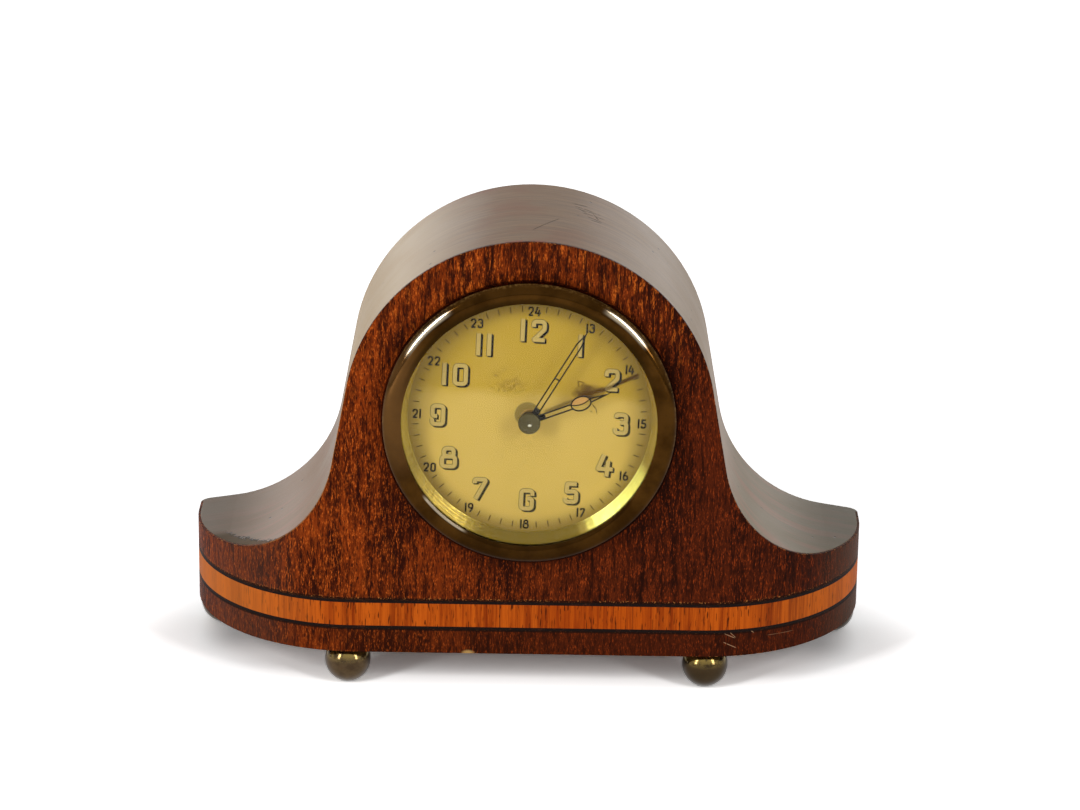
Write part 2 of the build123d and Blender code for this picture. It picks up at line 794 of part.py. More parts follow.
# The click stands just off the ratchet's teeth
with BuildPart() as click:
    nose_place = beyond(main_place, ratchet_radius + click_radius / 2 + plate_clearance, click_nose_turn)
    bar(click_place, nose_place, click_radius, ratchet_near, ratchet_far)
    rod(click_place, click_radius, ratchet_near, ratchet_far)
    bore = click_stud_radius + running_gap
    rod(click_place, bore, ratchet_near - overrun, ratchet_far + overrun, mode=Mode.SUBTRACT)
finish(click, "click")


def spiral(place, inner_radius, outer_radius, turns, sheet, near, far, end_bearing):
    """A flat spring wound in half turns, out from the middle to a bearing."""
    halves = 2 * turns
    step = (outer_radius - inner_radius) / halves
    outward = (cos(radians(end_bearing)), sin(radians(end_bearing)))
    with BuildSketch(at_depth(far)) as section:
        for half in range(halves):
            side = 1 if half % 2 else -1
            radius = inner_radius + (half + 0.5) * step
            shift = side * step / 2
            middle = (place[0] + shift * outward[0], place[1] + shift * outward[1])
            start = end_bearing + (0 if half % 2 == 0 else 180)
            with BuildLine():
                outer = CenterArc(middle, radius + sheet / 2, start, 180)
                inner = CenterArc(middle, radius - sheet / 2, start, 180)
                Line(outer @ 0, inner @ 0)
                Line(outer @ 1, inner @ 1)
            make_face()
    extrude(section.sketch, amount=far - near)


with BuildPart() as mainspring:
    spiral(
        main_place,
        spring_inner_radius,
        spring_outer_radius,
        spring_turns,
        spring_sheet,
        spring_near,
        spring_far,
        spring_post_bearing,
    )
finish(mainspring, "mainspring")

# Key with two rounded wings on a square socket
with BuildPart() as winding_key:
    shank_far = key_near + key_shank_length
    wing_far = shank_far + key_wing_height
    rod(main_place, key_shank_radius, key_near, shank_far + key_wing_height / 2)
    wing_radius = key_wing_height / 2
    wing_middle = key_wing_span / 2 - wing_radius
    wing_plane = Plane(
        (main_place[0], front_y + shank_far + wing_radius, dial_z + main_place[1] + key_wing_thickness / 2)
    )
    with BuildSketch(wing_plane):
        with Locations((-wing_middle, 0), (wing_middle, 0)):
            Circle(wing_radius)
        Rectangle(2 * wing_middle, wing_radius)
        with Locations((-wing_middle, 0), (wing_middle, 0)):
            Circle(key_wing_height * key_eye_share, mode=Mode.SUBTRACT)
    extrude(amount=-key_wing_thickness)
    with BuildSketch(at_depth(shank_far)):
        with Locations(main_place):
            Rectangle(winding_square, winding_square)
    extrude(amount=key_shank_length + overrun, mode=Mode.SUBTRACT)
finish(winding_key, "winding_key")

# Centre arbor from the hands to the setting knob; the pinion sleeve and its wheel turn on it
with BuildPart() as centre_arbor:
    arbor_near = dial_depth - hand_cap_height - arbor_proud
    rod(centre_place, centre_arbor_radius, arbor_near, knob_near + knob_length)
finish(centre_arbor, "centre_arbor")

pinion_near = main_wheel_near - pinion_overlap
pinion_far = main_wheel_far + pinion_overlap
with BuildPart() as centre_pinion:
    slab(
        centre_place,
        pinion_points(centre_leaves, main_module),
        pinion_near,
        pinion_far,
        turn=main_bearing + 180 / centre_leaves,
    )
    rod(centre_place, sleeve_radius, front_plate_far + end_shake, centre_wheel_far)
    bore = centre_arbor_radius + running_gap
    rod(centre_place, bore, front_plate_far, centre_wheel_far + overrun, mode=Mode.SUBTRACT)
finish(centre_pinion, "centre_pinion")


def train_wheel(place, teeth, module, bearing, hole_radius, near):
    """A wheel with a tooth pointing at the next arbor."""
    far = near + wheel_thickness
    slab(place, wheel_points(teeth, module), near, far, turn=bearing)
    crossings(place, teeth * module / 2, near, far)
    rod(place, hole_radius, near - overrun, far + overrun, mode=Mode.SUBTRACT)


def train_arbor(place, leaves, module, bearing, wheel_near):
    """An arbor whose pinion has a gap facing the wheel that drives it."""
    pivoted_arbor(place)
    near = wheel_near - pinion_overlap
    far = wheel_near + wheel_thickness + pinion_overlap
    slab(place, pinion_points(leaves, module), near, far, turn=bearing + 180 + 180 / leaves)


with BuildPart() as centre_wheel:
    train_wheel(centre_place, centre_teeth, centre_module, third_bearing, sleeve_radius, centre_wheel_near)
finish(centre_wheel, "centre_wheel")

with BuildPart() as friction_spring:
    friction_near = centre_wheel_far + assembly_gap
    rod(centre_place, friction_spring_radius, friction_near, friction_near + friction_spring_thickness)
    bore_far = friction_near + friction_spring_thickness + overrun
    rod(centre_place, centre_arbor_radius, friction_near - overrun, bore_far, mode=Mode.SUBTRACT)
finish(friction_spring, "friction_spring")

third_wheel_near = level(third_level_share)
fourth_wheel_near = level(fourth_level_share)
with BuildPart() as third_arbor:
    train_arbor(third_place, third_leaves, centre_module, third_bearing, centre_wheel_near)
finish(third_arbor, "third_arbor")

with BuildPart() as third_wheel:
    train_wheel(third_place, third_teeth, third_module, fourth_bearing, arbor_radius, third_wheel_near)
finish(third_wheel, "third_wheel")

with BuildPart() as fourth_arbor:
    train_arbor(fourth_place, fourth_leaves, third_module, fourth_bearing, third_wheel_near)
finish(fourth_arbor, "fourth_arbor")

with BuildPart() as fourth_wheel:
    train_wheel(fourth_place, fourth_teeth, fourth_module, escape_bearing, arbor_radius, fourth_wheel_near)
finish(fourth_wheel, "fourth_wheel")

with BuildPart() as escape_arbor:
    train_arbor(escape_place, escape_leaves, fourth_module, escape_bearing, fourth_wheel_near)
finish(escape_arbor, "escape_arbor")

with BuildPart() as escape_wheel:
    escape_near = level(escape_level_share)
    escape_far = escape_near + escape_wheel_thickness
    slab(escape_place, saw_points(escape_teeth, escape_radius, escape_tooth_shares), escape_near, escape_far)
    rod(escape_place, arbor_radius, escape_near - overrun, escape_far + overrun, mode=Mode.SUBTRACT)
finish(escape_wheel, "escape_wheel")

# Pin lever: two arms with pins that reach forward to the escape wheel, and a forked tail
with BuildPart() as pin_lever:
    pivoted_arbor(lever_place)
    pin_bearings = (lever_bearing - lever_pin_turn, lever_bearing + lever_pin_turn)
    pin_places = [beyond(escape_place, lever_pin_orbit, bearing) for bearing in pin_bearings]
    for place in pin_places:
        bar(lever_place, place, lever_arm_width, lever_near, lever_far)
    rods(pin_places, lever_pin_radius, lever_near - lever_pin_reach, lever_near)
    fork_outline = (
        (0, -fork_width / 2),
        (fork_length, -fork_width / 2),
        (fork_length, -fork_slot_width / 2),
        (fork_length - fork_slot_length, -fork_slot_width / 2),
        (fork_length - fork_slot_length, fork_slot_width / 2),
        (fork_length, fork_slot_width / 2),
        (fork_length, fork_width / 2),
        (0, fork_width / 2),
    )
    slab(lever_place, fork_outline, lever_near, lever_far, turn=lever_bearing)
finish(pin_lever, "pin_lever")

# Balance on a staff that runs in two cupped screws
cup_floor_front = front_plate_far + bearing_screw_inside - bearing_cup_depth
cup_floor_rear = rear_plate_near - bearing_screw_inside + bearing_cup_depth
with BuildPart() as balance_staff:
    staff_near = front_plate_far + bearing_screw_inside + end_shake
    staff_far = rear_plate_near - bearing_screw_inside - end_shake
    roller_near = level(roller_level_share)
    rod(balance_place, staff_radius, staff_near, staff_far)
    rod(balance_place, staff_pivot_radius, cup_floor_front + end_shake, cup_floor_rear - end_shake)
    rod(balance_place, roller_radius, roller_near, roller_near + roller_thickness)
    rod(balance_place, collet_radius, hairspring_near, hairspring_far)
    impulse_place = beyond(balance_place, impulse_orbit, lever_bearing + 180)
    rod(impulse_place, impulse_pin_radius, lever_near - end_shake, roller_near)
finish(balance_staff, "balance_staff")

with BuildPart() as balance_wheel:
    rim_near = level(balance_level_share)
    rim_far = rim_near + balance_thickness
    with BuildSketch(at_depth(rim_far)):
        with Locations(balance_place):
            Circle(balance_radius)
            Circle(balance_radius - balance_rim, mode=Mode.SUBTRACT)
            with PolarLocations(0, balance_spokes):
                spoke_length = balance_radius - balance_rim / 2
                Rectangle(spoke_length, balance_spoke_width, align=(Align.MIN, Align.CENTER))
            Circle(2 * balance_spoke_width)
            Circle(staff_radius, mode=Mode.SUBTRACT)
    extrude(amount=balance_thickness)
finish(balance_wheel, "balance_wheel")

with BuildPart() as hairspring:
    spiral(
        balance_place,
        collet_radius + assembly_gap + hairspring_sheet,
        hairspring_outer_radius,
        hairspring_turns,
        hairspring_sheet,
        hairspring_near,
        hairspring_far,
        0,
    )
finish(hairspring, "hairspring")

with BuildPart() as bearing_screws:
    front_tip = front_plate_far + bearing_screw_inside
    rear_tip = rear_plate_near - bearing_screw_inside
    cup_radius = staff_pivot_radius + running_gap
    rod(balance_place, bearing_screw_radius, front_plate_near - bearing_screw_outside, front_tip)
    rod(balance_place, cup_radius, cup_floor_front, front_tip + overrun, mode=Mode.SUBTRACT)
    rod(balance_place, bearing_screw_radius, rear_tip, rear_plate_far + bearing_screw_outside)
    rod(balance_place, cup_radius, rear_tip - overrun, cup_floor_rear, mode=Mode.SUBTRACT)
finish(bearing_screws, "bearing_screws")

# Regulator on the rear bearing screw: a finger out through the lid, a pin in beside the hairspring
with BuildPart() as regulator:
    finger_place = beyond(balance_place, regulator_arm, regulator_bearing)
    curb_place = beyond(balance_place, curb_pin_orbit, regulator_bearing)
    ring_bore = bearing_screw_radius + running_gap
    bar(balance_place, finger_place, regulator_arm_width, regulator_near, regulator_far)
    rod(balance_place, ring_bore + regulator_ring, regulator_near, regulator_far)
    rod(balance_place, ring_bore, regulator_near - overrun, regulator_far + overrun, mode=Mode.SUBTRACT)
    rod(finger_place, regulator_finger_radius, regulator_near, cover_far + regulator_finger_reach)
    rod(curb_place, curb_pin_radius, hairspring_near, regulator_near)
finish(regulator, "regulator")

# Motion work between the dial and the front plate
with BuildPart() as cannon_pinion:
    cannon_far = front_plate_near - end_shake
    cannon_near = minute_wheel_near - pinion_overlap / 2
    slab(
        centre_place,
        pinion_points(cannon_leaves, minute_module),
        cannon_near,
        cannon_far,
        turn=minute_bearing + 180 / cannon_leaves,
    )
    rod(centre_place, cannon_radius, minute_hand_near, cannon_far)
    bore_through = (minute_hand_near - overrun, cannon_far + overrun)
    rod(centre_place, centre_arbor_radius, *bore_through, mode=Mode.SUBTRACT)
finish(cannon_pinion, "cannon_pinion")

with BuildPart() as minute_wheel:
    slab(
        minute_place,
        wheel_points(minute_teeth, minute_module),
        minute_wheel_near,
        minute_wheel_far,
        turn=minute_bearing + 180,
    )
    slab(
        minute_place,
        pinion_points(minute_leaves, hour_module),
        hour_wheel_near,
        minute_wheel_near,
        turn=minute_bearing + 180 + 180 / minute_leaves,
    )
    bore = motion_stud_radius + running_gap
    rod(minute_place, bore, hour_wheel_near - overrun, minute_wheel_far + overrun, mode=Mode.SUBTRACT)
finish(minute_wheel, "minute_wheel")

with BuildPart() as hour_wheel:
    hour_outline = wheel_points(hour_teeth, hour_module)
    slab(centre_place, hour_outline, hour_wheel_near, hour_wheel_far, turn=minute_bearing)
    rod(centre_place, hour_pipe_radius, hour_hand_near, hour_wheel_far)
    bore = cannon_radius + running_gap
    rod(centre_place, bore, hour_hand_near - overrun, hour_wheel_far + overrun, mode=Mode.SUBTRACT)
finish(hour_wheel, "hour_wheel")

# Hour hand: a solid root, two rails, an oval ring and an open lance
with BuildPart() as hour_hand:
    hour_hand_far = hour_hand_near + hand_thickness
    ring_start = hour_ring_place - hour_ring_length / 2
    ring_end = hour_ring_place + hour_ring_length / 2
    with BuildSketch(at_depth(hour_hand_far, 90 - hour_hand_turn)):
        with Locations(((ring_start + hand_rail) / 2, 0)):
            Rectangle(ring_start + hand_rail, hour_stem_width)
        with Locations(((hour_root_length + ring_start) / 2, 0)):
            Rectangle(ring_start - hour_root_length, hour_stem_width - 2 * hand_rail, mode=Mode.SUBTRACT)
        Polygon(
            (ring_end - hand_rail, hour_lance_width / 2),
            (ring_end - hand_rail, -hour_lance_width / 2),
            (hour_hand_length, 0),
        )
        Polygon(
            (ring_end, hour_lance_width / 2 - hand_rail),
            (ring_end, hand_rail - hour_lance_width / 2),
            ((ring_end + hour_hand_length) / 2, 0),
            mode=Mode.SUBTRACT,
        )
        with Locations((hour_ring_place, 0)):
            Ellipse(hour_ring_length / 2, hour_ring_width / 2)
            Ellipse(hour_ring_length / 2 - hand_rail, hour_ring_width / 2 - hand_rail, mode=Mode.SUBTRACT)
        Circle(hour_hub_radius)
    extrude(amount=hand_thickness)
    rod(centre_place, hour_hub_radius, hour_hand_far, hour_hand_near + hour_hub_height)
    hub_through = (hour_hand_near - overrun, hour_hand_near + hour_hub_height + overrun)
    rod(centre_place, hour_pipe_radius, *hub_through, mode=Mode.SUBTRACT)
finish(hour_hand, "hour_hand")

# Minute hand: two long rails joined by a bar, drawn in to a point and a needle
with BuildPart() as minute_hand:
    minute_hand_far = minute_hand_near + hand_thickness
    half_stem = minute_stem_width / 2
    with BuildSketch(at_depth(minute_hand_far, 90 - minute_hand_turn)):
        Polygon(
            (0, -half_stem),
            (0, half_stem),
            (minute_stem_length, half_stem),
            (minute_point_length, minute_needle_width / 2),
            (minute_hand_length, 0),
            (minute_point_length, -minute_needle_width / 2),
            (minute_stem_length, -half_stem),
        )
        Polygon(
            (minute_bar_place + hand_rail / 2, hand_rail - half_stem),
            (minute_bar_place + hand_rail / 2, half_stem - hand_rail),
            (minute_stem_length, half_stem - hand_rail),
            (minute_point_length - 2 * hand_rail, 0),
            (minute_stem_length, hand_rail - half_stem),
            mode=Mode.SUBTRACT,
        )
        window_end = minute_bar_place - hand_rail / 2
        with Locations(((minute_root_length + window_end) / 2, 0)):
            Rectangle(window_end - minute_root_length, minute_stem_width - 2 * hand_rail, mode=Mode.SUBTRACT)
        Circle(minute_hub_radius)
        Circle(cannon_radius, mode=Mode.SUBTRACT)
    extrude(amount=hand_thickness)
finish(minute_hand, "minute_hand")

# Collet that holds the minute hand, round the end of the arbor
with BuildPart() as hand_cap:
    rod(centre_place, hand_cap_radius, dial_depth - hand_cap_height, minute_hand_near)
    chamfer(hand_cap.edges().group_by(Axis.Y)[0], hand_cap_bevel)
    bore_near = dial_depth - hand_cap_height - overrun
    rod(centre_place, centre_arbor_radius, bore_near, minute_hand_near + overrun, mode=Mode.SUBTRACT)
finish(hand_cap, "hand_cap")

with BuildPart() as setting_knob:
    knob_far = knob_near + knob_length
    with BuildSketch(at_depth(knob_far)):
        Circle(knob_radius)
        with PolarLocations(knob_radius, knob_flutes):
            Circle(knob_flute_radius, mode=Mode.SUBTRACT)
        Circle(centre_arbor_radius, mode=Mode.SUBTRACT)
    extrude(amount=knob_length)
finish(setting_knob, "setting_knob")
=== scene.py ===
import json
from functools import reduce
from math import atan2, cos, hypot, pi, radians, sin, tan

import bpy
import numpy as np
from mathutils import Matrix, Vector
from mathutils.geometry import delaunay_2d_cdt


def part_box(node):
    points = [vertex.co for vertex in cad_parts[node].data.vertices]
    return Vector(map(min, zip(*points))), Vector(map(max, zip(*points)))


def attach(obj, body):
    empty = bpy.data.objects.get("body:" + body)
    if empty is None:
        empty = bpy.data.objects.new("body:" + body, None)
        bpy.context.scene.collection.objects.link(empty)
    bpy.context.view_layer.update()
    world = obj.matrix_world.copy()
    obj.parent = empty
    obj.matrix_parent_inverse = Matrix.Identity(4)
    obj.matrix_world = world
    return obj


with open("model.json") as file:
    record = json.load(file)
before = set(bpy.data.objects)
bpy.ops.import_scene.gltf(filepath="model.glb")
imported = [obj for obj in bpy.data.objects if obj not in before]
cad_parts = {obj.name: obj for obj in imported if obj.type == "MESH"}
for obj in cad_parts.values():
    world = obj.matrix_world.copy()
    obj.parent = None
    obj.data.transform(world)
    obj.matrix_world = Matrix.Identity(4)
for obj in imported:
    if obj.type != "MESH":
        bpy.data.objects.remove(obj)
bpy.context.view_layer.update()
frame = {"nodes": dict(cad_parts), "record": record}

# Lengths are written in millimetres and turned into metres where a mesh, lamp or camera is made.
MM = 0.001

# Places on the clock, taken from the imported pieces
glass_low, glass_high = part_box("glass")
case_low, case_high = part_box("front_veneer_upper")
DIAL_X = (glass_low.x + glass_high.x) / 2 / MM
DIAL_Z = (glass_low.z + glass_high.z) / 2 / MM
DIAL_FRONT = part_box("dial")[0].y / MM
CASE_FRONT = case_low.y / MM
TOP_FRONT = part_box("top_veneer")[0].y / MM
CASE_HALF = (case_high.x - case_low.x) / 2 / MM
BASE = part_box("front_veneer_lower")[0].z / MM
STRING_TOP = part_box("stringing_upper")[1].z / MM
STRING_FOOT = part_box("stringing_lower")[0].z / MM
HOUR_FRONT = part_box("hour_hand")[0].y / MM

# Radius of the case's front corners, seen from above
CORNER = 54.5

# Radii on the bezel: its inner lip, the slope above that, the crest and the outer rim
BEZEL_LIP, BEZEL_SLOPE, BEZEL_CREST, BEZEL_RIM = 40.8, 42.6, 44.9, 45.6


# Finishes

class Wire:
    """An output of some nodes. Arithmetic on it adds Math nodes beside them."""

    def __init__(self, nodes, socket):
        self.nodes = nodes
        self.socket = socket

    def maths(self, operation, first, second):
        return self.nodes.node("ShaderNodeMath", {"operation": operation}, {0: first, 1: second})

    def __add__(self, other):
        return self.maths("ADD", self, other)

    def __sub__(self, other):
        return self.maths("SUBTRACT", self, other)

    def __rsub__(self, other):
        return self.maths("SUBTRACT", other, self)

    def __mul__(self, other):
        return self.maths("MULTIPLY", self, other)

    def __truediv__(self, other):
        return self.maths("DIVIDE", self, other)

    def __pow__(self, other):
        return self.maths("POWER", self, other)

    def __abs__(self):
        return self.maths("ABSOLUTE", self, 0.0)

    __radd__ = __add__
    __rmul__ = __mul__

    def larger(self, other):
        return self.maths("MAXIMUM", self, other)

    def ramp(self, low, high):
        """0 up to low, 1 from high on, and smooth between them; low may be the larger."""
        return self.nodes.node(
            "ShaderNodeMapRange",
            {"interpolation_type": "SMOOTHSTEP"},
            {"Value": self, "From Min": low, "From Max": high},
        )


class Nodes:
    """The nodes of a material or of the surroundings."""

    def __init__(self, tree):
        self.tree = tree

    def node(self, kind, settings=None, inputs=None, output=0):
        """Adds a node: its type, its settings, then the values or links of its sockets."""
        made = self.tree.nodes.new(kind)
        for key, value in (settings or {}).items():
            setattr(made, key, value)
        for key, value in (inputs or {}).items():
            self.join(made.inputs[key], value)
        return Wire(self, made.outputs[output])

    def join(self, socket, value):
        """Gives a socket a link or a value."""
        if isinstance(value, Wire):
            self.tree.links.new(value.socket, socket)
        elif socket.type == "RGBA" and len(value) == 3:
            socket.default_value = (*value, 1.0)
        else:
            socket.default_value = value

    def ray(self, kind):
        """1 for one kind of ray, 0 for the others."""
        return self.node("ShaderNodeLightPath", {}, {}, f"Is {kind} Ray")

    def seen(self):
        """1 for what is looked at, also in reflections and through glass; 0 for light on its way."""
        return self.ray("Camera").larger(self.ray("Glossy")).larger(self.ray("Transmission"))


class Finish(Nodes):
    """A material, made of nodes round one surface shader."""

    def __init__(self, name):
        self.material = bpy.data.materials.new(name)
        self.material.use_nodes = True
        super().__init__(self.material.node_tree)
        self.surface = self.tree.nodes["Principled BSDF"]
        self.out = self.tree.nodes["Material Output"]
        self._place = None

    def set(self, **sockets):
        """Gives the surface shader its values or links; _ stands for a space."""
        for key, value in sockets.items():
            self.join(self.surface.inputs[key.replace("_", " ")], value)
        return self

    def place(self):
        """Where a point is on the clock, in millimetres."""
        if self._place is None:
            spot = self.node("ShaderNodeTexCoord", {}, {}, "Object")
            self._place = self.node(
                "ShaderNodeVectorMath", {"operation": "MULTIPLY"}, {0: spot, 1: (1 / MM, 1 / MM, 1 / MM)}
            )
        return self._place

    def axis(self, name):
        """One coordinate of the place."""
        return self.node("ShaderNodeSeparateXYZ", {}, {0: self.place()}, name)

    def from_centre(self):
        """How far a point lies to the right of the dial's centre, above it and away from it."""
        right, up = self.axis("X") - DIAL_X, self.axis("Z") - DIAL_Z
        return right, up, (right * right + up * up) ** 0.5

    def stretched(self, per_mm, shift=(0, 0, 0)):
        """The place, with so many pattern cells per millimetre each way."""
        return self.node(
            "ShaderNodeVectorMath", {"operation": "MULTIPLY_ADD"}, {0: self.place(), 1: per_mm, 2: shift}
        )

    def noise(self, per_mm, detail, rough, shift=(0, 0, 0), warp=0.0):
        """Cloudy noise from 0 to 1, with so many cells per millimetre each way."""
        return self.node(
            "ShaderNodeTexNoise",
            {"noise_dimensions": "3D"},
            {
                "Vector": self.stretched(per_mm, shift),
                "Scale": 1.0,
                "Detail": detail,
                "Roughness": rough,
                "Distortion": warp,
            },
        )

    def turned(self, radius, per_mm):
        """Rings left by turning: noise that changes with the radius alone."""
        return self.node(
            "ShaderNodeTexNoise",
            {"noise_dimensions": "1D"},
            {"W": radius * per_mm, "Scale": 1.0, "Detail": 2.0},
        )

    def cells(self, per_mm, shift, output="Distance"):
        """Scattered cells: the distance to the nearest one's middle, or its colour."""
        return self.node(
            "ShaderNodeTexVoronoi", {}, {"Vector": self.stretched(per_mm, shift), "Scale": 1.0}, output
        )

    def blend(self, share, first, second):
        """A colour between two others."""
        return self.node("ShaderNodeMix", {"data_type": "RGBA"}, {0: share, 6: first, 7: second}, 2)

    def layers(self, body, *coats):
        """A colour with others laid over it in turn, each given as its share and its tone."""
        for share, tone in coats:
            body = self.blend(share, body, tone)
        return body

    def near(self, x, z, reach_x, reach_z):
        """1 at a place on the front, falling to 0 at a reach from it."""
        across = (self.axis("X") - x) / reach_x
        up = (self.axis("Z") - z) / reach_z
        return (across * across + up * up).ramp(1.0, 0.0)

    def stroke(self, start, end, half_width, fade, rise="Z"):
        """1 along a straight line on the front, from one (x, z) to another, or on the top, where rise is Y."""
        run = (end[0] - start[0], end[1] - start[1])
        length = hypot(*run)
        way = (run[0] / length, run[1] / length)
        right = self.axis("X") - start[0]
        up = self.axis(rise) - start[1]
        along = right * way[0] + up * way[1]
        beside = abs(up * way[0] - right * way[1])
        ends = along.ramp(-fade, fade) * along.ramp(length + fade, length - fade)
        return beside.ramp(half_width, 0.0) * ends

    def strokes(self, lines, rise="Z"):
        """Several strokes together, each with its ends, half width and fade."""
        return reduce(Wire.larger, [self.stroke(*line, rise) for line in lines])

    def edge(self, radius):
        """1 on the sharp edges of a piece, falling to 0 within a radius of them."""
        smooth = self.node("ShaderNodeBevel", {"samples": 8}, {"Radius": radius * MM})
        flat = self.node("ShaderNodeNewGeometry", {}, {}, "Normal")
        level = self.node("ShaderNodeVectorMath", {"operation": "DOT_PRODUCT"}, {0: smooth, 1: flat}, "Value")
        return level.ramp(0.998, 0.80)

    def rounded(self, radius):
        """The surface's direction, with its edges rounded to a radius."""
        return self.node("ShaderNodeBevel", {"samples": 6}, {"Radius": radius * MM})

    def bump(self, height, depth, strength=1.0, normal=None):
        """Relief of a depth in millimetres, over a surface direction if one is given."""
        links = {"Height": height, "Distance": depth * MM, "Strength": strength}
        if normal is not None:
            links["Normal"] = normal
        self.set(Normal=self.node("ShaderNodeBump", {}, links))
        return self


# Scratches at the front's lower right, as (x, z) of their ends, half width and fade
FRONT_SCRATCHES = [
    ((63.8, 20.9), (67.0, 19.3), 0.20, 0.4),
    ((65.6, 21.2), (67.3, 19.5), 0.16, 0.3),
    ((63.6, 17.9), (67.5, 15.9), 0.20, 0.4),
    ((72.0, 21.6), (73.2, 20.6), 0.18, 0.3),
]
FAINT_SCRATCH = ((78.0, 19.0), (86.0, 18.8), 0.12, 0.9)


def veneer_front():
    """Dark red-brown veneer with short upright orange flecks, darker to the right and dull at its ends."""
    it = Finish("front_veneer")
    x, z = it.axis("X"), it.axis("Z")
    cloud = it.noise((0.030, 0.030, 0.020), 3.0, 0.55)
    streak = it.noise((0.50, 0.50, 0.050), 4.0, 0.60, shift=(3.1, 0.0, 1.7), warp=0.35)
    fleck = it.noise((1.35, 1.35, 0.27), 4.0, 0.62, shift=(0.0, 5.3, 8.1), warp=0.5)
    fine = it.noise((3.3, 3.3, 0.85), 3.0, 0.65, shift=(7.7, 1.9, 0.0))
    pore = it.noise((2.7, 2.7, 0.42), 2.0, 0.5, shift=(2.2, 9.1, 4.4)).ramp(0.54, 0.66)
    dash = it.noise((1.05, 1.05, 0.17), 1.0, 0.5, shift=(6.0, 2.5, 3.0), warp=0.3).ramp(0.60, 0.68)
    dash = dash * fine.ramp(0.40, 0.55)
    tick = it.noise((0.85, 0.85, 0.85), 2.0, 0.6, shift=(4.0, 0.0, 0.0)).ramp(0.54, 0.62)
    speck = it.noise((2.3, 2.3, 1.9), 1.0, 0.5, shift=(0.0, 0.0, 6.6)).ramp(0.60, 0.70)
    jag = it.noise((0.6, 0.6, 0.6), 3.0, 0.6, shift=(1.0, 2.0, 3.0))

    side = (x * 0.6 - (z - 60.0) * 0.25).ramp(-50.0, 38.0)
    high = z.ramp(DIAL_Z + 8.0, DIAL_Z + 44.0)
    low = z.ramp(STRING_FOOT + 0.5, STRING_FOOT - 0.5)
    right_end = x.ramp(88.0, 112.0)
    left_end = x.ramp(-70.0, -88.0) * x.ramp(-107.0, -98.0)
    glow = fine.ramp(0.50, 0.62) * fleck.ramp(0.46, 0.60)
    worn = it.edge(0.55)
    rubbed = worn * it.near(-62.0, DIAL_Z - 26.0, 34.0, 46.0).ramp(0.0, 0.5) * fleck.ramp(0.34, 0.50)
    # Dark lines beside the stringing: partly a wider black joint, partly painted shade above the upper line.
    seam_and_shade = abs(z - (STRING_TOP + 0.15)).ramp(0.72, 0.40)
    seam_and_shade = seam_and_shade.larger(abs(z - (STRING_FOOT - 0.10)).ramp(0.58, 0.30))
    ledge = abs(z - (STRING_TOP + 0.70)).ramp(0.60, 0.1)
    chip = it.near(-18.8, BASE, 2.6, 1.5) * jag.ramp(0.30, 0.50)
    scratches = it.strokes(FRONT_SCRATCHES).larger(it.stroke(*FAINT_SCRATCH) * 0.6) * jag.ramp(0.30, 0.48)

    grain = (streak * 0.40 + fleck * 0.40 + fine * 0.15 + cloud * 0.45).ramp(0.60, 0.80)
    deep = it.blend(side, (0.028, 0.0035, 0.0008), (0.0135, 0.0024, 0.0008))
    light = it.blend(side, (0.222, 0.033, 0.0032), (0.070, 0.0108, 0.0024))
    spark = it.blend(side, (0.580, 0.118, 0.014), (0.430, 0.062, 0.009))
    body = it.layers(
        it.blend(grain, deep, light),
        (glow * (0.94 - side * 0.42), spark),
        (pore * 0.90, (0.016, 0.0028, 0.0014)),
        (dash * ((1.0 - side) * 0.14 + high * 0.62), (0.600, 0.128, 0.014)),
        (high * streak.ramp(0.54, 0.42) * 0.6, (0.020, 0.0034, 0.0012)),
        (low * 0.30, (0.030, 0.0060, 0.0016)),
        (right_end * 0.55, (0.062, 0.034, 0.0170)),
        (left_end * 0.42, (0.060, 0.031, 0.0220)),
        (worn * 0.85, (0.012, 0.004, 0.0020)),
        (worn * tick * 0.9, (0.50, 0.19, 0.050)),
        (rubbed * 0.9, (0.52, 0.230, 0.060)),
        (seam_and_shade * 0.85, (0.009, 0.0030, 0.0016)),
        (ledge * speck * 0.75, (0.42, 0.150, 0.034)),
        (chip, (0.42, 0.25, 0.085)),
        (scratches * 0.8, (0.46, 0.26, 0.14)),
    )
    it.set(Base_Color=body, Roughness=0.42 + fine * 0.14 + worn * 0.12, Specular_IOR_Level=0.03)
    height = streak * 0.35 + fine * 0.35 - pore * 0.6 - chip * 1.2 - scratches * 0.8
    return it.bump(height, 0.10, 0.55, it.rounded(0.35))


# Scratches on the top, as (x, y) of their ends, half width and fade: a long one and a patch of short ones
TOP_SCRATCHES = [
    ((0.2, -16.0), (8.3, -1.7), 0.30, 1.0),
    ((13.0, 18.5), (17.5, 19.3), 0.42, 0.6),
    ((13.6, 16.2), (19.0, 15.4), 0.42, 0.6),
    ((15.5, 13.4), (21.5, 14.6), 0.42, 0.6),
    ((16.2, 10.9), (22.6, 11.6), 0.42, 0.6),
    ((17.6, 8.3), (22.0, 7.4), 0.42, 0.6),
    ((18.8, 5.6), (21.6, 6.2), 0.42, 0.6),
    ((14.6, 14.4), (17.2, 12.0), 0.42, 0.6),
    ((19.5, 12.8), (21.0, 9.0), 0.42, 0.6),
]


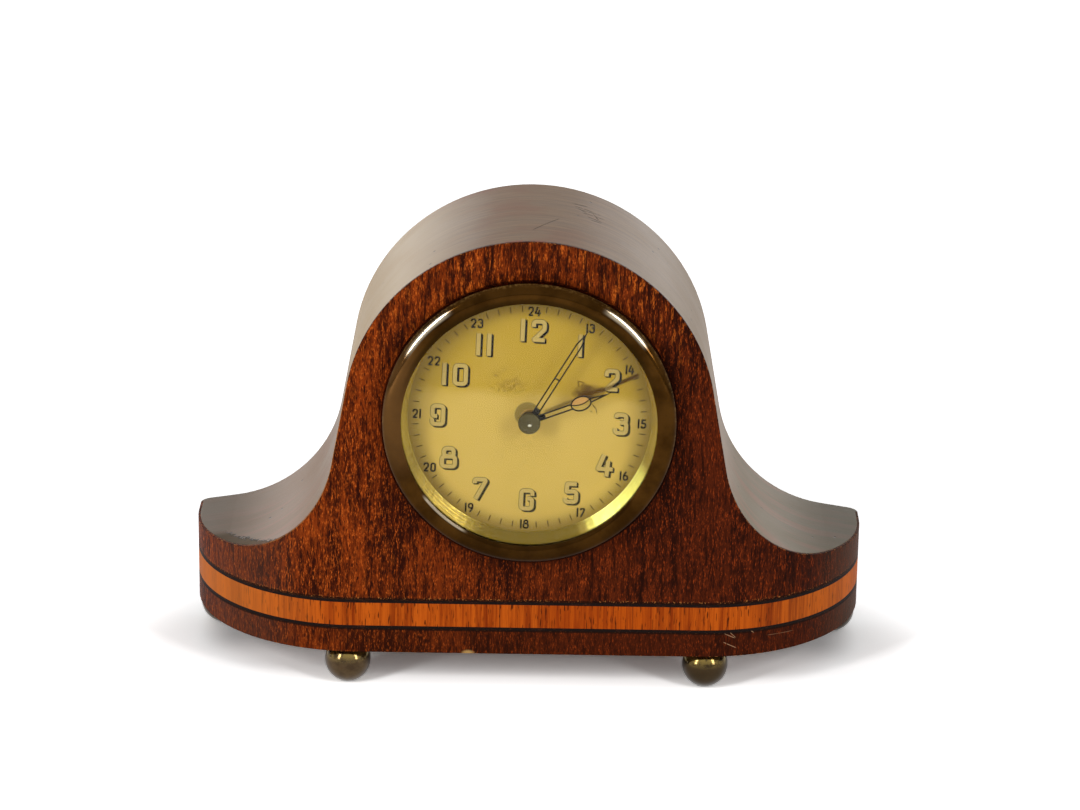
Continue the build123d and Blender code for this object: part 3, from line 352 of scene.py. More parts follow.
def veneer_top():
    """Dark polished veneer, its grain running over the hump, with dents, scratches, a lifted left end and
    painted sheen at the left of the hump and on its right shoulder.
    """
    it = Finish("top_veneer")
    x, y, z = it.axis("X"), it.axis("Y"), it.axis("Z")
    grain = it.noise((0.050, 1.30, 0.050), 5.0, 0.62, shift=(0.0, 2.0, 0.0), warp=0.25)
    fine = it.noise((0.22, 4.2, 0.22), 2.0, 0.55, shift=(1.0, 0.0, 3.0))
    cloud = it.noise((0.045, 0.070, 0.045), 3.0, 0.55, shift=(5.0, 1.0, 2.0))
    streak = it.noise((0.018, 0.20, 0.018), 3.0, 0.6, shift=(4.0, 1.0, 2.0), warp=0.4).ramp(0.48, 0.62)
    rare = it.noise((0.05, 0.05, 0.05), 1.0, 0.5, shift=(9.0, 4.0, 1.0)).ramp(0.44, 0.52)
    jag = it.noise((0.9, 0.9, 0.9), 3.0, 0.65, shift=(2.0, 3.0, 1.0))

    hump = z.ramp(DIAL_Z, DIAL_Z + 20.0)
    wing = z.ramp(DIAL_Z - 20.0, DIAL_Z - 36.0)
    wing_end = wing * abs(x).ramp(76.0, 106.0)
    reddish = cloud.ramp(0.46, 0.70) * x.ramp(30.0, 0.0)
    # Painted sheen: lighter at the left of the hump and on its right shoulder, standing in for the varnish's
    # reflection of the white surroundings.
    left_sheen = x.ramp(-14.0, -44.0) * z.ramp(DIAL_Z - 4.0, DIAL_Z + 18.0)
    shoulder = x.ramp(18.0, 50.0) * z.ramp(DIAL_Z - 16.0, DIAL_Z + 16.0)
    dent = it.cells((0.16, 0.16, 0.16), (0.4, 0.0, 0.8)).ramp(0.11, 0.04) * rare
    scuff = it.strokes(TOP_SCRATCHES, "Y") * jag.ramp(0.34, 0.48) * hump
    worn = it.edge(0.6) * jag.ramp(0.50, 0.62)
    front = y.ramp(TOP_FRONT + 0.9, TOP_FRONT + 0.4) * jag.ramp(0.62, 0.46)
    nick = y.ramp(TOP_FRONT + 1.8, TOP_FRONT + 1.2) * x.ramp(-9.5, -7.5) * x.ramp(6.0, 3.0)
    nick = nick * jag.ramp(0.40, 0.52) * hump

    # The lifted end: how far a point lies past the ragged line where the veneer still holds
    bend_x, bend_y = x + CASE_HALF - CORNER, y - CASE_FRONT - CORNER
    inset = CORNER - (bend_x * bend_x + bend_y * bend_y) ** 0.5
    past = inset - x.ramp(-78.0, -92.0) * 5.0 - (jag - 0.5) * 7.0
    left_end = x.ramp(-77.0, -80.0) * y.ramp(4.0, -4.0) * wing
    lifted = past.ramp(0.3, -0.3) * left_end
    tear = abs(past).ramp(0.75, 0.25) * left_end

    body = it.layers(
        it.blend(grain.ramp(0.30, 0.72), (0.158, 0.088, 0.0400), (0.238, 0.134, 0.0580)),
        (reddish * 0.60, (0.200, 0.074, 0.0320)),
        (wing * 0.8, it.blend(x.ramp(-20.0, 20.0), (0.170, 0.074, 0.0120), (0.112, 0.074, 0.0140))),
        (wing * streak * 0.55, (0.240, 0.082, 0.0280)),
        (wing_end * 0.65, (0.034, 0.026, 0.0060)),
        (left_sheen * 0.75, (0.410, 0.270, 0.105)),
        (shoulder * 0.4, (0.190, 0.125, 0.050)),
        (lifted * 0.55, (0.026, 0.021, 0.0080)),
        (tear * 0.85, (0.010, 0.007, 0.0030)),
        (dent.larger(scuff) * 0.9, (0.010, 0.006, 0.003)),
        (worn * 0.7, (0.24, 0.10, 0.030)),
        (front * 0.85, (0.014, 0.007, 0.0030)),
        (nick * 0.8, (0.230, 0.055, 0.020)),
    )
    gloss = 0.25 + cloud * 0.12 + fine * 0.07 + lifted * 0.22 + scuff * 0.2
    it.set(Base_Color=body, Roughness=gloss, Specular_IOR_Level=0.11)
    height = grain * 0.30 + fine * 0.22 + cloud * 0.9 - dent * 1.4 - scuff - lifted * 1.6
    return it.bump(height, 0.09, 0.5, it.rounded(0.4))


# Joints between the leaves of the inlay: x on the front, half width and darkness
INLAY_JOINTS = [(-8.7, 0.30, 1.0), (34.0, 0.24, 0.7), (-62.0, 0.26, 0.6)]


def inlay_strip():
    """Light orange-brown cross-banding with upright streaks, joints and a few pores."""
    it = Finish("inlay")
    x = it.axis("X")
    streak = it.noise((0.85, 0.85, 0.030), 4.0, 0.60, shift=(1.0, 4.0, 2.0), warp=0.2)
    fine = it.noise((3.4, 3.4, 0.09), 2.0, 0.60, shift=(6.0, 0.0, 1.0))
    zone = it.noise((0.13, 0.13, 0.004), 2.0, 0.5, shift=(5.0, 2.0, 8.0))
    pore = it.noise((1.9, 1.9, 0.22), 1.0, 0.5, shift=(3.0, 8.0, 5.0)).ramp(0.62, 0.70)
    leaf = it.cells((0.030, 0.030, 0.0), (0.35, 0.2, 0.0), "Color")
    leaf = it.node("ShaderNodeSeparateColor", {}, {0: leaf}, 0)
    joint = reduce(Wire.larger, [abs(x - at).ramp(half, 0.05) * depth for at, half, depth in INLAY_JOINTS])
    ends = x.ramp(-56.0, -106.0) * 0.55 + x.ramp(66.0, 108.0) * 0.30
    grain = (streak * 0.55 + fine * 0.28 + zone * 0.55 - 0.20).ramp(0.33, 0.62)
    dark = it.blend(leaf, (0.19, 0.022, 0.0018), (0.25, 0.032, 0.0026))
    pale = it.blend(leaf, (0.53, 0.100, 0.0066), (0.45, 0.074, 0.0036))
    body = it.layers(
        it.blend(grain, dark, pale),
        (joint * 0.7, (0.080, 0.016, 0.004)),
        (pore * 0.85, (0.045, 0.008, 0.002)),
        (ends, (0.58, 0.180, 0.034)),
    )
    it.set(Base_Color=body, Roughness=0.42 + fine * 0.16, Specular_IOR_Level=0.03)
    return it.bump(streak * 0.4 + fine * 0.4 - pore, 0.08, 0.5)


def black_line():
    """Stringing: wood dyed black, rubbed brown in places."""
    it = Finish("stringing")
    rub = it.noise((0.35, 0.35, 1.4), 3.0, 0.6)
    fine = it.noise((2.5, 2.5, 2.5), 2.0, 0.6, shift=(2.0, 0.0, 0.0))
    worn = (rub * 0.6 + fine * 0.4).ramp(0.52, 0.72)
    body = it.blend(worn, (0.0065, 0.0030, 0.0022), (0.050, 0.014, 0.006))
    it.set(Base_Color=body, Roughness=0.46 + fine * 0.2, Specular_IOR_Level=0.06)
    return it.bump(fine, 0.05, 0.4)


def case_block():
    """Stained plain wood of the back, the underside and the bore."""
    it = Finish("case_wood")
    grain = it.noise((0.035, 0.55, 0.70), 5.0, 0.62, shift=(0.0, 3.0, 1.0), warp=0.5)
    fine = it.noise((0.16, 2.6, 3.2), 2.0, 0.6, shift=(2.0, 0.0, 0.0))
    cloud = it.noise((0.022, 0.022, 0.030), 3.0, 0.55, shift=(7.0, 2.0, 4.0))
    pore = fine.ramp(0.60, 0.74)
    rub = it.noise((0.5, 0.5, 0.5), 3.0, 0.6, shift=(1.0, 7.0, 3.0)).ramp(0.46, 0.62)
    worn = it.edge(0.7) * rub
    pale = (grain * 0.8 + cloud * 0.4 - 0.1).ramp(0.30, 0.72)
    body = it.layers(
        it.blend(pale, (0.052, 0.0165, 0.0068), (0.150, 0.056, 0.021)),
        (pore * 0.6, (0.022, 0.008, 0.004)),
        (worn * 0.8, (0.30, 0.135, 0.055)),
    )
    it.set(Base_Color=body, Roughness=0.50 + fine * 0.2, Specular_IOR_Level=0.30)
    return it.bump(grain * 0.6 + fine * 0.4 - pore * 0.7, 0.14, 0.6, it.rounded(0.4))


def metal(name, clean, dull, gloss, cover, brush, edge_tone=None):
    """A metal with patches of tarnish and brushing along one way, and rubbed edges if they have a tone."""
    it = Finish(name)
    patch = it.noise((0.16, 0.16, 0.16), 4.0, 0.6, shift=(2.0, 5.0, 1.0))
    lines = it.noise(brush, 2.0, 0.6, shift=(0.0, 1.0, 4.0))
    speck = it.noise((1.3, 1.3, 1.3), 2.0, 0.6, shift=(8.0, 3.0, 0.0)).ramp(0.60, 0.72)
    tarnish = (patch * 0.7 + lines * 0.3).ramp(0.62 - 0.34 * cover, 0.92 - 0.34 * cover)
    body = it.layers(
        it.blend(tarnish, clean, dull),
        (speck * 0.45, tuple(part * 0.45 for part in dull)),
    )
    if edge_tone is not None:
        body = it.blend(it.edge(0.45) * patch.ramp(0.30, 0.60) * 0.85, body, edge_tone)
    it.set(Base_Color=body, Metallic=1.0, Roughness=gloss + lines * 0.12 + speck * 0.12 - 0.06)
    return it.bump(lines * 0.7 - speck * 0.4, 0.03, 0.5, it.rounded(0.18))


def bezel_patina():
    """Brass gone dark brown under old lacquer, rubbed a little brighter at its outer rim, with a painted sheen
    at its left, painted highlights at its upper left, upper right and lower left, painted shade on its inner
    slope at the top and a darker painted reflection towards the bottom.
    """
    it = Finish("bezel_brass")
    _, up, radius = it.from_centre()
    patch = it.noise((0.09, 0.09, 0.09), 4.0, 0.6, shift=(1.0, 5.0, 3.0))
    speck = it.noise((0.9, 0.9, 0.9), 3.0, 0.65, shift=(8.0, 3.0, 0.0))
    fine = it.noise((2.8, 2.8, 2.8), 2.0, 0.6)
    ring = it.turned(radius, 2.2)
    pit = speck.ramp(0.60, 0.76)
    # Painted sheen: a broad lighter patch at the left.
    sheen = it.near(DIAL_X - 44.0, DIAL_Z + 6.0, 16.0, 30.0)
    # Painted reflection: darker towards the bottom, where the bezel faces down to the base and the floor.
    dark_reflection_below = up.ramp(-30.0, -44.0)
    # Painted shade: darker on the inner slope at the top, next to the dial.
    inner = radius.ramp(BEZEL_SLOPE, BEZEL_SLOPE - 1.4) * up.ramp(4.0, 26.0)
    # Painted highlights: a short band on each upper shoulder and a thin line along the inner lip at the lower
    # left.
    highlight_arcs = it.near(DIAL_X - 33.0, DIAL_Z + 31.0, 12.0, 12.0)
    highlight_arcs = highlight_arcs.larger(it.near(DIAL_X + 30.0, DIAL_Z + 33.0, 10.5, 10.5))
    painted_highlight = highlight_arcs.ramp(0.0, 0.9) * abs(radius - BEZEL_CREST).ramp(1.15, 0.2)
    lip = it.near(DIAL_X - 27.5, DIAL_Z - 31.0, 10.5, 10.5).ramp(0.0, 0.6)
    lip = lip * abs(radius - BEZEL_LIP).ramp(0.6, 0.15)
    rim = radius.ramp(BEZEL_RIM, BEZEL_RIM + 0.7) * speck.ramp(0.48, 0.64)
    body = it.layers(
        it.blend(patch.ramp(0.34, 0.66), (0.024, 0.0090, 0.0006), (0.050, 0.0205, 0.0028)),
        (pit * 0.7, (0.016, 0.0065, 0.0010)),
        (sheen * 0.44, (0.130, 0.062, 0.0200)),
        (dark_reflection_below * 0.35, (0.015, 0.0062, 0.0008)),
        (inner * 0.7, (0.017, 0.0080, 0.0006)),
        (painted_highlight.larger(lip), (0.400, 0.330, 0.230)),
        (rim * 0.6, (0.16, 0.085, 0.022)),
    )
    it.set(Base_Color=body, Metallic=1.0, Roughness=0.07 + speck * 0.06 + ring * 0.03)
    it.set(Coat_Weight=0.03, Coat_Roughness=0.05)
    return it.bump(ring * 0.5 + fine * 0.25 - pit * 0.5, 0.03, 0.5, it.rounded(0.2))


# How much steeper the finish makes the sloping ring look
RING_FLARE = 2.2


def polished_ring():
    """Lacquered brass of the sloping ring, turned, with old spots at its lower left and painted reflections:
    bright at its lower right, gold at its lower left and darker at the bottom.
    """
    it = Finish("reflector_brass")
    _, _, radius = it.from_centre()
    ring = it.turned(radius, 7.0)
    patch = it.noise((0.13, 0.13, 0.13), 4.0, 0.6, shift=(4.0, 1.0, 6.0))
    spot = it.noise((0.8, 0.8, 0.8), 3.0, 0.6, shift=(2.0, 7.0, 1.0)).ramp(0.64, 0.76)
    old = patch.ramp(0.46, 0.62) * it.near(-24.0, DIAL_Z - 30.0, 22.0, 16.0)
    # Painted reflection: darker at the bottom, where the ring mirrors no lamp.
    dark_reflection_below = it.near(DIAL_X, DIAL_Z - 40.0, 22.0, 12.0).ramp(0.0, 0.5)
    # Painted reflections of the lamps: bright yellow at the lower right and gold at the lower left.
    right_reflection = it.near(DIAL_X + 28.5, DIAL_Z - 25.5, 16.0, 17.0).ramp(0.0, 0.8)
    left_reflection = it.near(DIAL_X - 28.0, DIAL_Z - 27.0, 14.0, 14.0).ramp(0.0, 0.7)
    body = it.layers(
        it.blend(ring.ramp(0.30, 0.70), (0.340, 0.245, 0.040), (0.470, 0.350, 0.070)),
        (dark_reflection_below * 0.85, (0.200, 0.135, 0.010)),
        (right_reflection, it.blend(ring.ramp(0.25, 0.60), (0.880, 0.780, 0.150), (1.000, 0.980, 0.260))),
        (left_reflection * 0.85, it.blend(ring.ramp(0.30, 0.65), (0.380, 0.255, 0.040), (0.700, 0.540, 0.130))),
        (old * 0.7, (0.300, 0.200, 0.032)),
        (spot * old.ramp(0.0, 0.5), (0.180, 0.075, 0.016)),
    )
    it.set(Base_Color=body, Metallic=1.0, Roughness=0.18 + ring * 0.08 + old * 0.10)
    return it.bump(ring * 0.10 - radius * RING_FLARE, 1.0)


# Curled flakes at the burn, as (x, z) of their ends, half width and fade
BURN_FLAKES = [
    ((15.1, DIAL_Z + 12.5), (15.6, DIAL_Z + 10.2), 0.36, 0.4),
    ((15.1, DIAL_Z + 12.5), (17.2, DIAL_Z + 12.0), 0.36, 0.4),
    ((17.2, DIAL_Z + 12.0), (16.0, DIAL_Z + 10.6), 0.36, 0.4),
    ((16.4, DIAL_Z + 11.0), (17.0, DIAL_Z + 9.6), 0.36, 0.4),
    ((19.4, DIAL_Z + 5.2), (21.0, DIAL_Z + 3.4), 0.36, 0.4),
    ((21.0, DIAL_Z + 3.4), (21.3, DIAL_Z + 1.8), 0.36, 0.4),
    ((19.2, DIAL_Z + 2.6), (19.9, DIAL_Z + 2.2), 0.36, 0.4),
]
BURN_TONE = (0.090, 0.036, 0.0030)


def burnt(it):
    """Where heat or acid has browned the dial, beside and under the hour hand."""
    uneven = it.noise((0.42, 0.0, 0.42), 4.0, 0.70, shift=(3.0, 0.4, 5.0)) - 0.50
    crumb = it.noise((1.1, 0.0, 1.1), 3.0, 0.70, shift=(5.0, 0.4, 2.0)).ramp(0.34, 0.50)
    blotch = it.near(18.4, DIAL_Z + 8.9, 7.0, 3.8) * (0.78 + uneven * 1.6)
    core = it.stroke((16.4, DIAL_Z + 7.9), (23.8, DIAL_Z + 10.0), 2.0, 1.4) * (1.10 + uneven * 1.8)
    outer = it.stroke((22.0, DIAL_Z + 9.0), (34.4, DIAL_Z + 15.0), 1.25, 1.0)
    inner = it.stroke((4.6, DIAL_Z + 1.9), (14.2, DIAL_Z + 6.2), 1.5, 1.2) * 0.60
    mark = blotch.larger(core).larger(outer).larger(inner).ramp(0.10, 0.90)
    return mark.larger(it.strokes(BURN_FLAKES) * crumb)


def gold_lacquer():
    """The dial: gold lacquer, darker above as a painted reflection, with specks, a burn beside the hour hand,
    painted shade at the rim and a painted shadow beside the hub.
    """
    it = Finish("dial_paint")
    right, up, radius = it.from_centre()
    cloud = it.noise((0.045, 0.0, 0.060), 3.0, 0.55, shift=(1.0, 0.0, 2.0))
    fine = it.noise((2.4, 0.0, 2.4), 2.0, 0.6, shift=(4.0, 0.0, 1.0))
    grit = it.noise((1.25, 0.0, 1.25), 3.0, 0.65, shift=(9.0, 0.0, 3.0)).ramp(0.66, 0.74)
    mould = it.cells((1.40, 0.0, 1.40), (2.0, 0.5, 7.0)).ramp(0.40, 0.30)
    mould = mould * it.noise((0.16, 0.0, 0.16), 3.0, 0.6, shift=(6.0, 0.4, 1.0)).ramp(0.36, 0.54)
    cluster = it.near(-6.6, DIAL_Z + 12.4, 8.0, 5.4).ramp(0.0, 0.55)
    cluster = cluster.larger(it.near(-3.0, DIAL_Z - 10.0, 16.0, 9.0) * 0.28)
    # Painted reflection: the upper part is a darker gold.
    upper = (up + right * 0.05 + cloud * 7.0).ramp(8.0, 14.0)
    # Painted shade: darker near the rim, where the bezel and the sloping ring shade the dial.
    rim = radius.ramp(32.2, 39.0) * (0.80 + upper * 0.06)
    hub_shade = it.near(DIAL_X - 0.6, DIAL_Z + 1.1, 4.5, 4.5).ramp(0.0, 0.16)
    burn = burnt(it)
    body = it.layers(
        it.blend(upper, (0.760, 0.530, 0.118), (0.600, 0.388, 0.036)),
        (cloud.ramp(0.42, 0.72) * 0.30, (0.620, 0.420, 0.070)),
        (rim, (0.215, 0.140, 0.022)),
        (grit * 0.30, (0.25, 0.14, 0.030)),
        (cluster * mould * 0.90, (0.060, 0.032, 0.0045)),
        (burn * 0.95, BURN_TONE),
        (hub_shade * 0.62, (0.130, 0.095, 0.022)),
    )
    it.set(Base_Color=body, Roughness=0.36 + fine * 0.12 + burn * 0.2, Specular_IOR_Level=0.10)
    return it.bump(fine * 0.5 + grit * 0.5, 0.02, 0.4)


def arbor_tip():
    """The arbor's end: grey like the cap round it, with a painted highlight as a bright dot at its middle."""
    it = Finish("arbor_tip")
    # Painted highlight: a bright dot just below the middle.
    dot = it.near(DIAL_X + 0.15, DIAL_Z - 0.45, 0.75, 0.50).ramp(0.10, 0.55)
    fine = it.noise((2.2, 2.2, 2.2), 3.0, 0.6)
    grey = it.blend(fine.ramp(0.35, 0.65), (0.060, 0.048, 0.020), (0.110, 0.092, 0.044))
    body = it.blend(dot, grey, (0.620, 0.600, 0.500))
    it.set(Base_Color=body, Metallic=1.0, Roughness=0.22 + fine * 0.16)
    return it.bump(fine, 0.02, 0.4)


def ball_brass():
    """Ball feet: brown tarnish over brass, darker on the right; at the top of each ball the gold is partly
    brass rubbed clean and partly painted glints.
    """
    it = Finish("foot_brass")
    x, z = it.axis("X"), it.axis("Z")
    patch = it.noise((0.22, 0.22, 0.30), 4.0, 0.6, shift=(2.0, 5.0, 1.0))
    speck = it.noise((0.85, 0.85, 0.85), 3.0, 0.65, shift=(8.0, 3.0, 0.0))
    fine = it.noise((2.6, 2.6, 2.6), 2.0, 0.6)
    pit = speck.ramp(0.62, 0.78)
    # Gold at the top of each ball: partly brass rubbed clean, partly painted glints.
    shoulder = z.ramp(7.6, 12.0) * (patch * 0.6 + speck * 0.6).ramp(0.48, 0.66)
    body = it.layers(
        it.blend(patch.ramp(0.36, 0.66), (0.054, 0.033, 0.014), (0.096, 0.061, 0.028)),
        (x.ramp(-20.0, 20.0) * 0.85, (0.036, 0.0215, 0.0065)),
        (shoulder * 0.7, (0.36, 0.25, 0.060)),
        (pit * 0.55, (0.026, 0.016, 0.008)),
    )
    it.set(Base_Color=body, Metallic=1.0, Roughness=0.08 + speck * 0.10 + fine * 0.03)
    it.set(Coat_Weight=0.20, Coat_Roughness=0.05)
    return it.bump(fine * 0.3 - pit * 0.6, 0.03, 0.5)


def clear_glass():
    """Clear glass with a faint, slightly uneven shine."""
    it = Finish("glass")
    smear = it.noise((0.07, 0.0, 0.09), 3.0, 0.6)
    sheen = it.node("ShaderNodeFresnel", {}, {"IOR": 1.46})
    through = it.node("ShaderNodeBsdfTransparent", {}, {"Color": (0.985, 0.985, 0.965)})
    shine = it.node("ShaderNodeBsdfAnisotropic", {}, {"Roughness": 0.04})
    share = sheen * (0.18 + smear * 0.16)
    mixed = it.node("ShaderNodeMixShader", {}, {0: share, 1: through, 2: shine})
    it.join(it.out.inputs["Surface"], mixed)
    it.tree.nodes.remove(it.surface)
    return it


def paint(name, tone, worn_tone, gloss, wear, scorched=False, low_tone=None):
    """A thin coat, rubbed or worn in small patches; it may be burnt, or have another tone low on the dial."""
    it = Finish(name)
    patch = it.noise((0.7, 0.7, 0.7), 4.0, 0.65, shift=(3.0, 1.0, 2.0))
    fine = it.noise((3.2, 3.2, 3.2), 2.0, 0.6)
    rubbed = (patch * 0.7 + fine * 0.3).ramp(0.66 - 0.2 * wear, 0.86 - 0.2 * wear)
    body = it.blend(rubbed, tone, worn_tone)
    if low_tone is not None:
        body = it.blend(it.axis("Z").ramp(DIAL_Z + 9.0, DIAL_Z - 5.0) * 0.85, body, low_tone)
    if scorched:
        body = it.blend(burnt(it) * 0.75, body, BURN_TONE)
    it.set(Base_Color=body, Roughness=gloss + fine * 0.15, Specular_IOR_Level=0.12)
    return it.bump(fine * 0.5 + patch * 0.3, 0.02, 0.4)


METALS = {
    "key_nickel": dict(
        clean=(0.50, 0.46, 0.38), dull=(0.25, 0.21, 0.15), gloss=0.24, cover=0.5,
        brush=(0.3, 2.2, 2.2), edge_tone=(0.62, 0.50, 0.30),
    ),
    "movement_brass": dict(
        clean=(0.72, 0.54, 0.22), dull=(0.42, 0.28, 0.09), gloss=0.32, cover=0.5, brush=(0.25, 0.25, 2.6),
    ),
    "movement_steel": dict(
        clean=(0.50, 0.49, 0.47), dull=(0.25, 0.23, 0.20), gloss=0.32, cover=0.4, brush=(1.8, 0.4, 1.8),
    ),
    "spring_steel": dict(
        clean=(0.075, 0.085, 0.135), dull=(0.060, 0.052, 0.055), gloss=0.28, cover=0.4, brush=(0.4, 2.2, 0.4),
    ),
    "drum_steel": dict(
        clean=(0.36, 0.345, 0.31), dull=(0.19, 0.155, 0.11), gloss=0.36, cover=0.6,
        brush=(0.20, 1.8, 1.8), edge_tone=(0.38, 0.28, 0.16),
    ),
    "fastener_steel": dict(
        clean=(0.48, 0.46, 0.43), dull=(0.20, 0.15, 0.10), gloss=0.34, cover=0.6,
        brush=(1.6, 1.6, 0.4), edge_tone=(0.55, 0.52, 0.47),
    ),
    "hub_steel": dict(
        clean=(0.085, 0.070, 0.030), dull=(0.055, 0.043, 0.016), gloss=0.34, cover=0.5, brush=(1.2, 1.2, 1.2),
    ),
}
PAINTS = {
    "hand_steel": dict(tone=(0.007, 0.0055, 0.003), worn_tone=(0.045, 0.034, 0.018), gloss=0.45, wear=0.40),
    "figure_ink": dict(
        tone=(0.008, 0.005, 0.002), worn_tone=(0.050, 0.030, 0.008), gloss=0.5, wear=0.25,
        low_tone=(0.048, 0.035, 0.011),
    ),
    "figure_fill": dict(
        tone=(0.640, 0.468, 0.142), worn_tone=(0.500, 0.360, 0.100), gloss=0.5, wear=0.6, scorched=True,
    ),
    "track_ink": dict(tone=(0.050, 0.030, 0.008), worn_tone=(0.200, 0.125, 0.028), gloss=0.5, wear=0.50),
    "small_figure_ink": dict(
        tone=(0.016, 0.010, 0.003), worn_tone=(0.085, 0.052, 0.013), gloss=0.5, wear=0.30,
    ),
    "old_lume": dict(tone=(0.680, 0.370, 0.105), worn_tone=(0.400, 0.200, 0.050), gloss=0.7, wear=0.6),
}
finishes = {
    "case_wood": case_block(),
    "top_veneer": veneer_top(),
    "front_veneer": veneer_front(),
    "inlay": inlay_strip(),
    "stringing": black_line(),
    "foot_brass": ball_brass(),
    "bezel_brass": bezel_patina(),
    "glass": clear_glass(),
    "reflector_brass": polished_ring(),
    "dial_paint": gold_lacquer(),
    "arbor_tip": arbor_tip(),
    **{name: metal(name, **looks) for name, looks in METALS.items()},
    **{name: paint(name, **looks) for name, looks in PAINTS.items()},
}


def dress(node, finish):
    """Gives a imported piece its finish."""
    slots = frame["nodes"][node].data.materials
    slots.clear()
    slots.append(finishes[finish].material)


for subpart in frame["record"]["subparts"]:
    dress(subpart["node"], subpart["material_slot"])
dress("hand_cap", "hub_steel")
dress("centre_arbor", "arbor_tip")


# Meshes on the dial and the hands

# Points nearer than the first become one; a triangle with less than the second as twice its area is left out
SAME_POINT, LEAST_TURN = 1e-4, 1e-5


def add_piece(name, outlines, near, far, finish, body):
    """A thin piece on a body, over the areas of some triangles (x, z), between two depths in millimetres."""
    points, faces = [], []
    for triangles in outlines:
        flat_solid(points, faces, triangles, near, far)
    mesh = bpy.data.meshes.new(name)
    mesh.from_pydata([Vector(point) * MM for point in points], [], faces)
    mesh.update()
    made = bpy.data.objects.new(name, mesh)
    bpy.context.scene.collection.objects.link(made)
    made.data.materials.append(finishes[finish].material)
    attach(made, body)


def flat_solid(points, faces, triangles, near, far):
    """Adds one closed solid over the area that the triangles cover together."""
    corners = [corner for triangle in triangles for corner in triangle]
    rims = [(3 * k, 3 * k + 1, 3 * k + 2) for k in range(len(triangles))]
    spots, _, cells, *_ = delaunay_2d_cdt(corners, [], rims, 1, SAME_POINT)
    middles = np.array([sum((spots[k] for k in cell), Vector((0, 0))) / len(cell) for cell in cells])
    covered = np.zeros(len(cells), bool)
    for triangle in triangles:
        within = np.ones(len(cells), bool)
        for a, b in zip(triangle, (*triangle[1:], triangle[0])):
            within &= (b.x - a.x) * (middles[:, 1] - a.y) > (b.y - a.y) * (middles[:, 0] - a.x)
        covered |= within
    cells = [cell for cell, inside in zip(cells, covered) if inside]
    base, count = len(points), len(spots)
    for depth in (near, far):
        points.extend((spot.x, depth, spot.y) for spot in spots)
    sides = {(a, b) for cell in cells for a, b in zip(cell, [*cell[1:], cell[0]])}
    for cell in cells:
        faces.append([base + k for k in cell])
        faces.append([base + count + k for k in reversed(cell)])
    for a, b in sorted(sides):
        if (b, a) not in sides:
            faces.append((base + a, base + count + a, base + count + b, base + b))


# Steps round a corner, and the most of a line's length that the rounding takes at each end
CORNER_STEPS, CORNER_SHARE = 6, 0.48


def rounded_path(points, radius, closed):
    """A line through points with its corners rounded; a point may give its own share of the radius."""
    count = len(points)
    path = []
    for k, (x, z, *share) in enumerate(points):
        here = Vector((x, z))
        if not closed and k in (0, count - 1):
            path.append(here)
            continue
        back = Vector(points[k - 1][:2]) - here
        on = Vector(points[(k + 1) % count][:2]) - here
        half = back.angle(on) / 2
        bend = radius * (share[0] if share else 1.0)
        reach = min(bend / tan(half), CORNER_SHARE * back.length, CORNER_SHARE * on.length)
        curve = reach * tan(half)
        middle = here + (back.normalized() + on.normalized()).normalized() * (curve / sin(half))
        start = here + back.normalized() * reach - middle
        end = here + on.normalized() * reach - middle
        first = atan2(start.y, start.x)
        sweep = (atan2(end.y, end.x) - first + pi) % (2 * pi) - pi
        for step in range(CORNER_STEPS + 1):
            angle = first + sweep * step / CORNER_STEPS
            path.append(middle + Vector((cos(angle), sin(angle))) * curve)
    return path


def band(left, right, closed=False):
    """The triangles between the two sides of a band."""
    count = len(left)
    triangles = []
    for k in range(count if closed else count - 1):
        on = (k + 1) % count
        for a, b, c in ((left[k], right[k], right[on]), (left[k], right[on], left[on])):
            turn = (b - a).cross(c - a)
            if abs(turn) > LEAST_TURN:
                triangles.append((a, b, c) if turn > 0 else (a, c, b))
    return triangles


# Keeps a ribbon's outer corners from growing past twice its width
LEAST_MITRE = 0.5


def ribbon(path, width, closed=False):
    """The triangles of a band of a width along a path."""
    left, right = [], []
    count = len(path)
    for k, here in enumerate(path):
        ways = []
        if closed or k:
            ways.append((here - path[k - 1]).normalized())
        if closed or k < count - 1:
            ways.append((path[(k + 1) % count] - here).normalized())
        way = sum(ways, Vector((0, 0))).normalized()
        across = Vector((-way.y, way.x))
        spread = width / 2 / max(across.dot(Vector((-ways[0].y, ways[0].x))), LEAST_MITRE)
        left.append(here + across * spread)
        right.append(here - across * spread)
    return band(left, right, closed)


